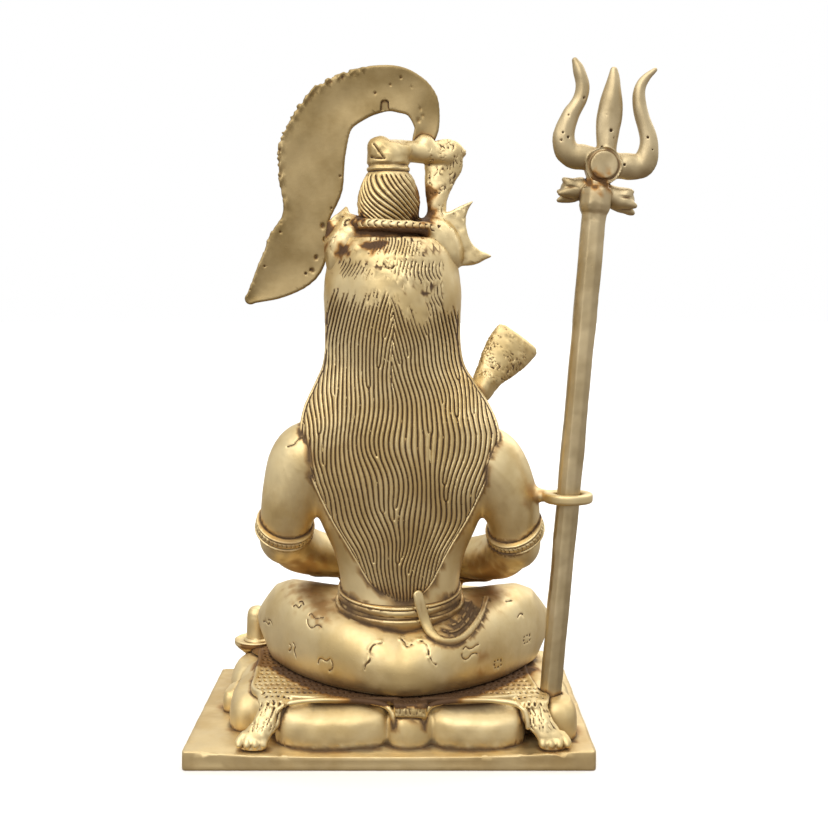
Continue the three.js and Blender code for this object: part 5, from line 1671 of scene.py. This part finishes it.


# Patches of amber and brown, in millimetres of the whole: x, y, z, radius and depth. Some are stains, and
# some are painted shade, such as those under the coil and the knot and at the trident's drum. A depth up to
# 0.9 is amber, and more is brown
STAIN_AND_SHADE_PATCHES = (
    (9.4, 28, 209.0, 3.0, 1.9), (6.4, 28, 207.6, 3.4, 2.0), (3.2, 28, 208.4, 3.2, 1.9),
    (1.2, 28, 206.6, 2.4, 1.8), (19.2, 20, 207.0, 4.4, 2.1), (12.0, 14, 219, 5, 2.0),
    (-13.0, 12, 218.5, 5, 2.0), (-15.0, 6, 231, 6, 1.5), (-15.0, 6, 222, 6, 1.7), (-40.0, 32, 39, 4.5, 0.9),
    (-39.5, 34, 31, 4.5, 0.8), (30.0, 20, 58, 8, 0.9), (-36.0, 14, 60, 8, 0.9), (41.0, 2, 69, 13, 0.85),
    (-43.0, 2, 67, 13, 0.85), (44.0, 24, 86, 7, 0.5), (-58.0, 18, 106, 6, 0.9), (-85.2, 15, 233, 6, 1.7),
    (26.5, 8, 216, 4, 1.9), (25.0, 8, 209, 3.5, 1.9),
)


def stain_and_painted_shade(points):
    """How stained each point is, with shade painted on the hide beside the lap and under the coil: 1 and more
    in the middle of a patch, 0 on clean brass.
    """
    x, y, z = points.T
    total = np.zeros(len(points))
    for at_x, at_y, at_z, radius, depth in STAIN_AND_SHADE_PATCHES:
        away = np.sqrt((x - at_x) ** 2 + (y - at_y) ** 2 * 0.4 + (z - at_z) ** 2) / radius
        total = np.maximum(total, depth * step_up(-away - 0.25 * ripple(x, y, z, 4.5, 201), -1.1, -0.45))
    uneven = ripple(x, y, z, 7, 202)
    rows = np.array(lap_rows())
    across = (x - FIGURE_X) / UNIT
    level = (z - SEAT) / UNIT
    # Painted shade on the hide where the lap overhangs it, darkest at the lap's edge
    for side, reach, depth in ((1, 13, 2.1), (-1, 6, 1.5)):
        lap_edge = np.interp(across, rows[:, 0], rows[:, 3] + side * rows[:, 1]) * UNIT
        painted_shade_beside_lap = step_up(side * (lap_edge - y) - 0.8 * uneven, -reach, -0.3 * reach)
        on_hide = (level < 0.2) & (level > -2.4) & (y * side > 0)
        total = np.maximum(total, depth * painted_shade_beside_lap * on_hide)
    # Painted shade in the gap under the coil round the knot
    painted_shade_under_coil = step_up(level + 0.5 * uneven, 183.8, 185.6) * step_up(-level, -190.0, -187.6)
    painted_shade_under_coil = painted_shade_under_coil * step_up(-np.abs(across - HEAD_X), -17, -14) * (y > 8)
    return np.maximum(total, 2.1 * painted_shade_under_coil)


# Values kept at each point of a mesh, from which the materials take the patina and the painted shade: how
# deep in a groove it is, how closely and how widely metal stands round it, how stained it is, with shade
# painted on the hide and under the coil, and how near another piece
PATINA_AND_SHADE_VALUES = ("groove", "crowd", "hollow", "stain_and_shade", "joint")
# Pieces that run into each other without a line between them
MERGED = ({"head", "body"}, {"hair", "hair_knot"})


def nearest_other(name, whole):
    """Distance from each point of a piece to the nearest surface of the other pieces."""
    near = np.full(len(whole), FAR)
    for (other_name, *_), other in zip(PIECES, CLAYS):
        if other_name == name or {name, other_name} in MERGED:
            continue
        local = (whole - other.origin) @ other.axes / other.unit
        cell = np.round((local - other.low) / other.pitch).astype(int)
        index = np.flatnonzero(np.all((cell >= 0) & (cell < other.field.shape), axis=1))
        index = index[np.abs(other.field[tuple(cell[index].T)]) < 3]
        if len(index):
            near[index] = np.minimum(near[index], np.abs(other.sample(local[index])) * other.unit)
    return near


# How much of the flatter surface may be joined into larger faces, from hardly any to most
COARSENESS = (0.01, 0.03, 0.06, 0.1, 0.13, 0.16, 0.2, 0.24, 0.29, 0.34, 0.4, 0.46, 0.53, 0.6, 0.7, 0.8, 1.0)


def polygons(clay, most, first, last):
    """Faces of the clay's surface between two layers: the finest of at most so many triangles."""
    grid = openvdb.FloatGrid(FAR)
    grid.copyFromArray(np.ascontiguousarray(clay.field[:, :, first:last]))
    for coarseness in COARSENESS:
        points, triangles, quads = grid.convertToPolygons(0.0, coarseness)
        if len(triangles) + 2 * len(quads) <= most:
            break
    return points + [0, 0, first], triangles, quads


# Loose bits of fewer points than this are left out of a mesh
SMALLEST_BIT = 300
# How often, and by what share of its distance, a point is moved onto the surface
SETTLE_PASSES, SETTLE_SHARE = 2, 0.8
# Width over which a groove is told from the surface round it, and reach of the brown at joints
GROOVE_WIDTH, JOINT_REACH = 0.42, 0.85


def make_piece(name, clay, node, material, most, part="", first=0, last=None):
    """A piece from the clay's surface between two layers, with values at its points for the patina and the
    painted shade.
    """
    points, triangles, quads = polygons(clay, most, first, last)
    points, triangles, quads = without_specks(points, triangles, quads, SMALLEST_BIT)
    points = points * clay.pitch + clay.low
    for _ in range(SETTLE_PASSES):
        slope = clay.slope(points, clay.pitch * 0.6)
        size = np.maximum((slope ** 2).sum(axis=1), 0.1)
        step = np.clip(clay.sample(points) / size, -clay.pitch, clay.pitch)
        points = points - slope * step[:, None] * SETTLE_SHARE
    normals = clay.slope(points, clay.pitch * 0.75)
    normals /= np.maximum(np.linalg.norm(normals, axis=1), 1e-6)[:, None]
    passes = max(1, round((GROOVE_WIDTH / clay.pitch) ** 2))
    if clay.soft is None:
        clay.soft = softened(clay.field, passes)
    groove = -2 * clay.sample(points, clay.soft) / (passes * clay.pitch ** 2)
    whole = (points * clay.unit) @ clay.axes.T + clay.origin
    mesh = bpy.data.meshes.new(name + part)
    faces = [tuple(face) for face in triangles.tolist()] + [tuple(face) for face in quads.tolist()]
    mesh.from_pydata(whole * MM, [], faces)
    values = {
        "groove": groove,
        "crowd": CROWD.sample(whole),
        "hollow": HOLLOW.sample(whole),
        "stain_and_shade": stain_and_painted_shade(whole),
        "joint": np.exp(-(nearest_other(name, whole) / JOINT_REACH) ** 2),
    }
    for title in PATINA_AND_SHADE_VALUES:
        layer = mesh.attributes.new(title, "FLOAT", "POINT")
        layer.data.foreach_set("value", np.asarray(values[title], np.float32))
    mesh.polygons.foreach_set("use_smooth", np.ones(len(faces), bool))
    mesh.normals_split_custom_set_from_vertices(normals @ clay.axes.T)
    mesh.materials.append(material)
    piece = bpy.data.objects.new(name + part, mesh)
    bpy.context.scene.collection.objects.link(piece)
    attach(piece, "root")
    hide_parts(node)
    print(f"{name}{part}: {len(triangles) + 2 * len(quads)} triangles")
    return piece


# Materials

def add_node(tree, kind, inputs=(), **settings):
    """A node with its settings, and with numbers or links on its inputs."""
    node = tree.nodes.new(kind)
    for key, value in settings.items():
        setattr(node, key, value)
    for key, value in dict(inputs).items():
        if isinstance(value, bpy.types.NodeSocket):
            tree.links.new(value, node.inputs[key])
        else:
            node.inputs[key].default_value = value
    return node


def math_node(tree, operation, a, b=0.0, c=0.0, clamp=False):
    node = add_node(tree, "ShaderNodeMath", {0: a, 1: b, 2: c}, operation=operation, use_clamp=clamp)
    return node.outputs[0]


def map_range(tree, value, low, high, to_low=0.0, to_high=1.0):
    """A value that steps smoothly between two others as it goes from low to high."""
    inputs = {"Value": value, "From Min": low, "From Max": high, "To Min": to_low, "To Max": to_high}
    return add_node(tree, "ShaderNodeMapRange", inputs, interpolation_type="SMOOTHSTEP").outputs["Result"]


def mix_colour(tree, share, a, b, blend_type="MIX"):
    node = add_node(tree, "ShaderNodeMix", data_type="RGBA", blend_type=blend_type)
    for socket, value in ((node.inputs[0], share), (node.inputs[6], a), (node.inputs[7], b)):
        if isinstance(value, bpy.types.NodeSocket):
            tree.links.new(value, socket)
        else:
            socket.default_value = value
    return node.outputs[2]


def noise(tree, place, scale, detail=3.0, roughness=0.55, distortion=0.0):
    inputs = {"Vector": place, "Scale": scale, "Detail": detail, "Roughness": roughness,
              "Distortion": distortion}
    return add_node(tree, "ShaderNodeTexNoise", inputs).outputs["Fac"]


def highest(tree, first, *others):
    """The highest of some values."""
    for other in others:
        first = math_node(tree, "MAXIMUM", first, other)
    return first


# Spots of the noises and pits in a metre
BROAD_SCALE, MIDDLE_SCALE, FINE_SCALE, PIT_SCALE = 38.0, 170.0, 900.0, 430.0
BRASS_PALE = (0.80, 0.65, 0.37, 1)
BRASS_DEEP = (0.65, 0.49, 0.235, 1)
# Brown and amber of the patina, used also as painted shade in creases, under overhangs and where pieces meet
BROWN_PATINA_AND_PAINTED_SHADE = (0.052, 0.024, 0.012, 1)
AMBER_PATINA_AND_PAINTED_SHADE = (0.42, 0.22, 0.07, 1)


def brass(name, pale=BRASS_PALE, deep=BRASS_DEEP, rough=0.0):
    """Cast brass, filed and rubbed bright, with brown left in its hollows, partly patina and partly painted
    shade.
    """
    material = bpy.data.materials.new(name)
    material.use_nodes = True
    tree = material.node_tree
    shader = tree.nodes["Principled BSDF"]
    place = add_node(tree, "ShaderNodeTexCoord").outputs["Object"]
    groove, crowd, hollow, stain_and_shade, joint = (
        add_node(tree, "ShaderNodeAttribute", attribute_name=title).outputs["Fac"] for title in PATINA_AND_SHADE_VALUES)
    broad = noise(tree, place, BROAD_SCALE, 4.0)
    middle = noise(tree, place, MIDDLE_SCALE, 4.0, 0.6)
    fine = noise(tree, place, FINE_SCALE, 3.0)

    shade = mix_colour(tree, map_range(tree, broad, 0.36, 0.66), pale, deep)
    mottle = map_range(tree, middle, 0.56, 0.80, 0.0, 0.2)
    shade = mix_colour(tree, mottle, shade, deep)
    uneven = math_node(tree, "MULTIPLY_ADD", middle, 1.2, -0.6)
    in_groove = map_range(tree, math_node(tree, "ADD", groove, uneven), 0.5, 1.7)
    # Painted shade as well as patina: brown and amber where metal crowds round in creases, where pieces meet,
    # and under overhangs
    crease = map_range(tree, math_node(tree, "MULTIPLY_ADD", uneven, 0.10, crowd), 0.64, 0.80)
    joint_patina_and_shade = map_range(tree, math_node(tree, "MULTIPLY_ADD", uneven, 0.6, joint), 0.25, 0.9, 0.0, 0.92)
    shadow = map_range(tree, math_node(tree, "MULTIPLY_ADD", uneven, 0.12, hollow), 0.68, 0.88, 0.0, 0.85)
    amber_patina_and_shade = map_range(tree, math_node(tree, "MULTIPLY_ADD", uneven, 0.12, hollow), 0.56, 0.76, 0.0, 0.70)
    amber_patina_and_shade = highest(tree, amber_patina_and_shade, map_range(tree, groove, 0.2, 1.4, 0.0, 0.55),
                    math_node(tree, "MULTIPLY", stain_and_shade, 0.8), map_range(tree, joint, 0.02, 0.5, 0.0, 0.6))
    shade = mix_colour(tree, amber_patina_and_shade, shade, AMBER_PATINA_AND_PAINTED_SHADE)
    brown_patina_and_shade = highest(tree, in_groove, math_node(tree, "MULTIPLY", crease, 0.8), shadow, joint_patina_and_shade,
                    map_range(tree, stain_and_shade, 0.9, 2.0, 0.0, 0.95))
    brown_patina_and_shade = math_node(tree, "MULTIPLY", brown_patina_and_shade, 0.93, clamp=True)
    shade = mix_colour(tree, brown_patina_and_shade, shade, BROWN_PATINA_AND_PAINTED_SHADE)
    tree.links.new(shade, shader.inputs["Base Color"])

    gloss = map_range(tree, middle, 0.3, 0.7, 0.41 + rough, 0.53 + rough)
    dull = math_node(tree, "MAXIMUM", brown_patina_and_shade, math_node(tree, "MULTIPLY", amber_patina_and_shade, 0.3))
    roughness = add_node(tree, "ShaderNodeMix", {0: dull, 2: gloss, 3: 0.72}, data_type="FLOAT").outputs[0]
    tree.links.new(roughness, shader.inputs["Roughness"])
    metallic = map_range(tree, brown_patina_and_shade, 0.2, 1.0, 1.0, 0.45)
    tree.links.new(metallic, shader.inputs["Metallic"])

    cells = add_node(tree, "ShaderNodeTexVoronoi", {"Vector": place, "Scale": PIT_SCALE, "Randomness": 1.0})
    pits = map_range(tree, cells.outputs["Distance"], 0.04, 0.16)
    pits = math_node(tree, "MAXIMUM", pits, map_range(tree, broad, 0.60, 0.52))
    height = math_node(tree, "MULTIPLY_ADD", fine, 0.35, math_node(tree, "MULTIPLY", middle, 0.8))
    height = math_node(tree, "MULTIPLY_ADD", pits, 0.5, height)
    bump_node = add_node(tree, "ShaderNodeBump", {"Strength": 0.35, "Distance": 0.00022, "Height": height})
    tree.links.new(bump_node.outputs["Normal"], shader.inputs["Normal"])
    return material


# Build

BRASS = brass("cast_brass")
BRASS_ROUGH = brass("cast_brass_rough", rough=0.06)
BRASS_PLATE = brass("cast_brass_plate", (0.70, 0.55, 0.30, 1), (0.55, 0.40, 0.19, 1), rough=0.05)
# A darker copy of the brass for the stream: painted shade for a face turned from the light
BRASS_STREAM_SHADED = brass("cast_brass_stream", (0.47, 0.355, 0.18, 1), (0.31, 0.22, 0.095, 1), rough=0.05)
BRASS_TRIDENT = brass("cast_brass_trident", (0.60, 0.485, 0.295, 1), (0.42, 0.325, 0.18, 1))

# Each piece: name, maker of its clay, node that it replaces, material, and most triangles
PIECES = (
    ("plate", make_plate, "base", BRASS_PLATE, 16000),
    ("rocks", make_rocks, "base", BRASS_ROUGH, 55000),
    ("tiger_skin", make_tiger_skin, "base", BRASS, 135000),
    ("linga", make_linga, "base", BRASS, 15000),
    ("lap", make_lap, "figure", BRASS, 75000),
    ("body", lambda: BODY, "figure", BRASS, 65000),
    ("ornaments", make_ornaments, "figure", BRASS, 80000),
    ("bracelets", make_bracelets, "figure", BRASS, 14000),
    ("head", make_head, "figure", BRASS, 60000),
    ("hair", make_hair, "figure", BRASS, 185000),
    ("hair_knot", make_hair_knot, "figure", BRASS, 100000),
    ("river_stream", make_river_stream, "river_stream", BRASS_STREAM_SHADED, 55000),
    ("trident", make_trident, "trident", BRASS_TRIDENT, 65000),
)
# The hair is one form in two pieces, which meet at a height and overlap by two layers
HAIR_JOINT = 116.0
CROWN_TRIANGLES = 150000

with ThreadPoolExecutor(4) as workers:
    CLAYS = list(workers.map(lambda piece: piece[1](), PIECES))
CROWD, HOLLOW = crowding(CLAYS)
for (piece_name, _, node_name, finish, most_triangles), piece_clay in zip(PIECES, CLAYS):
    if piece_name == "hair":
        layer = round((HAIR_JOINT - piece_clay.low[2]) / piece_clay.pitch)
        make_piece(piece_name, piece_clay, node_name, finish, most_triangles, last=layer + 2)
        make_piece(piece_name, piece_clay, node_name, finish, CROWN_TRIANGLES, part="_crown", first=layer)
    else:
        make_piece(piece_name, piece_clay, node_name, finish, most_triangles)


# Floor, light and camera

def make_floor():
    """A plain pale floor, twice as wide as its size in metres."""
    size = 6.0
    mesh = bpy.data.meshes.new("floor")
    corners = [(-size, -size, 0), (size, -size, 0), (size, size, 0), (-size, size, 0)]
    mesh.from_pydata(corners, [], [(0, 1, 2, 3)])
    floor = bpy.data.objects.new("floor", mesh)
    bpy.context.scene.collection.objects.link(floor)
    material = bpy.data.materials.new("pale_floor")
    material.use_nodes = True
    shader = material.node_tree.nodes["Principled BSDF"]
    shader.inputs["Base Color"].default_value = (0.86, 0.86, 0.86, 1)
    shader.inputs["Roughness"].default_value = 0.7
    mesh.materials.append(material)
    floor.visible_glossy = False


def soft_sun(name, side, height, strength, spread, colour=(1, 1, 1)):
    """A broad soft light from far away: side and height are its angles, in degrees."""
    lamp = bpy.data.lights.new(name, "SUN")
    lamp.energy = strength
    lamp.angle = math.radians(spread)
    lamp.color = colour
    holder = bpy.data.objects.new(name, lamp)
    holder.rotation_euler = (math.radians(90 - height), 0, math.radians(side))
    holder.location = (0, 0, 1)
    bpy.context.scene.collection.objects.link(holder)


def make_world():
    """A pale room: bright above, darker towards the floor, and plain to the camera."""
    world = bpy.data.worlds.new("studio")
    bpy.context.scene.world = world
    world.use_nodes = True
    tree = world.node_tree
    tree.nodes.clear()
    place = add_node(tree, "ShaderNodeTexCoord").outputs["Generated"]
    parts = add_node(tree, "ShaderNodeSeparateXYZ", {0: place})
    level = map_range(tree, parts.outputs["Z"], -0.75, 0.55)
    tint = mix_colour(tree, level, (0.24, 0.19, 0.14, 1), (0.86, 0.86, 0.85, 1))
    room = add_node(tree, "ShaderNodeBackground", {"Color": tint, "Strength": 1.06})
    plain = add_node(tree, "ShaderNodeBackground", {"Color": (1.0, 1.0, 1.0, 1), "Strength": 1.0})
    seen = add_node(tree, "ShaderNodeLightPath").outputs["Is Camera Ray"]
    both = add_node(tree, "ShaderNodeMixShader", {0: seen, 1: room.outputs[0], 2: plain.outputs[0]})
    add_node(tree, "ShaderNodeOutputWorld", {"Surface": both.outputs[0]})


def make_camera():
    """The photograph's camera, behind the figure and level with its neck."""
    camera = bpy.data.cameras.new("camera")
    camera.sensor_width = 36
    camera.sensor_fit = "HORIZONTAL"
    camera.lens = LENS_PIXELS / PHOTO_SIZE * camera.sensor_width
    camera.clip_start = 0.01
    holder = bpy.data.objects.new("camera", camera)
    holder.location = np.array(CAMERA_AT) * MM
    holder.rotation_euler = (math.radians(90 - CAMERA_DOWN), 0, math.pi)
    bpy.context.scene.collection.objects.link(holder)
    bpy.context.scene.camera = holder


bpy.context.scene.view_settings.view_transform = "Standard"
make_floor()
make_world()
soft_sun("key", 150, 46, 1.35, 60, (1.0, 0.985, 0.96))
soft_sun("front_key", -35, 45, 1.0, 60, (1.0, 0.985, 0.96))
soft_sun("top", 0, 86, 0.6, 80)
make_camera()
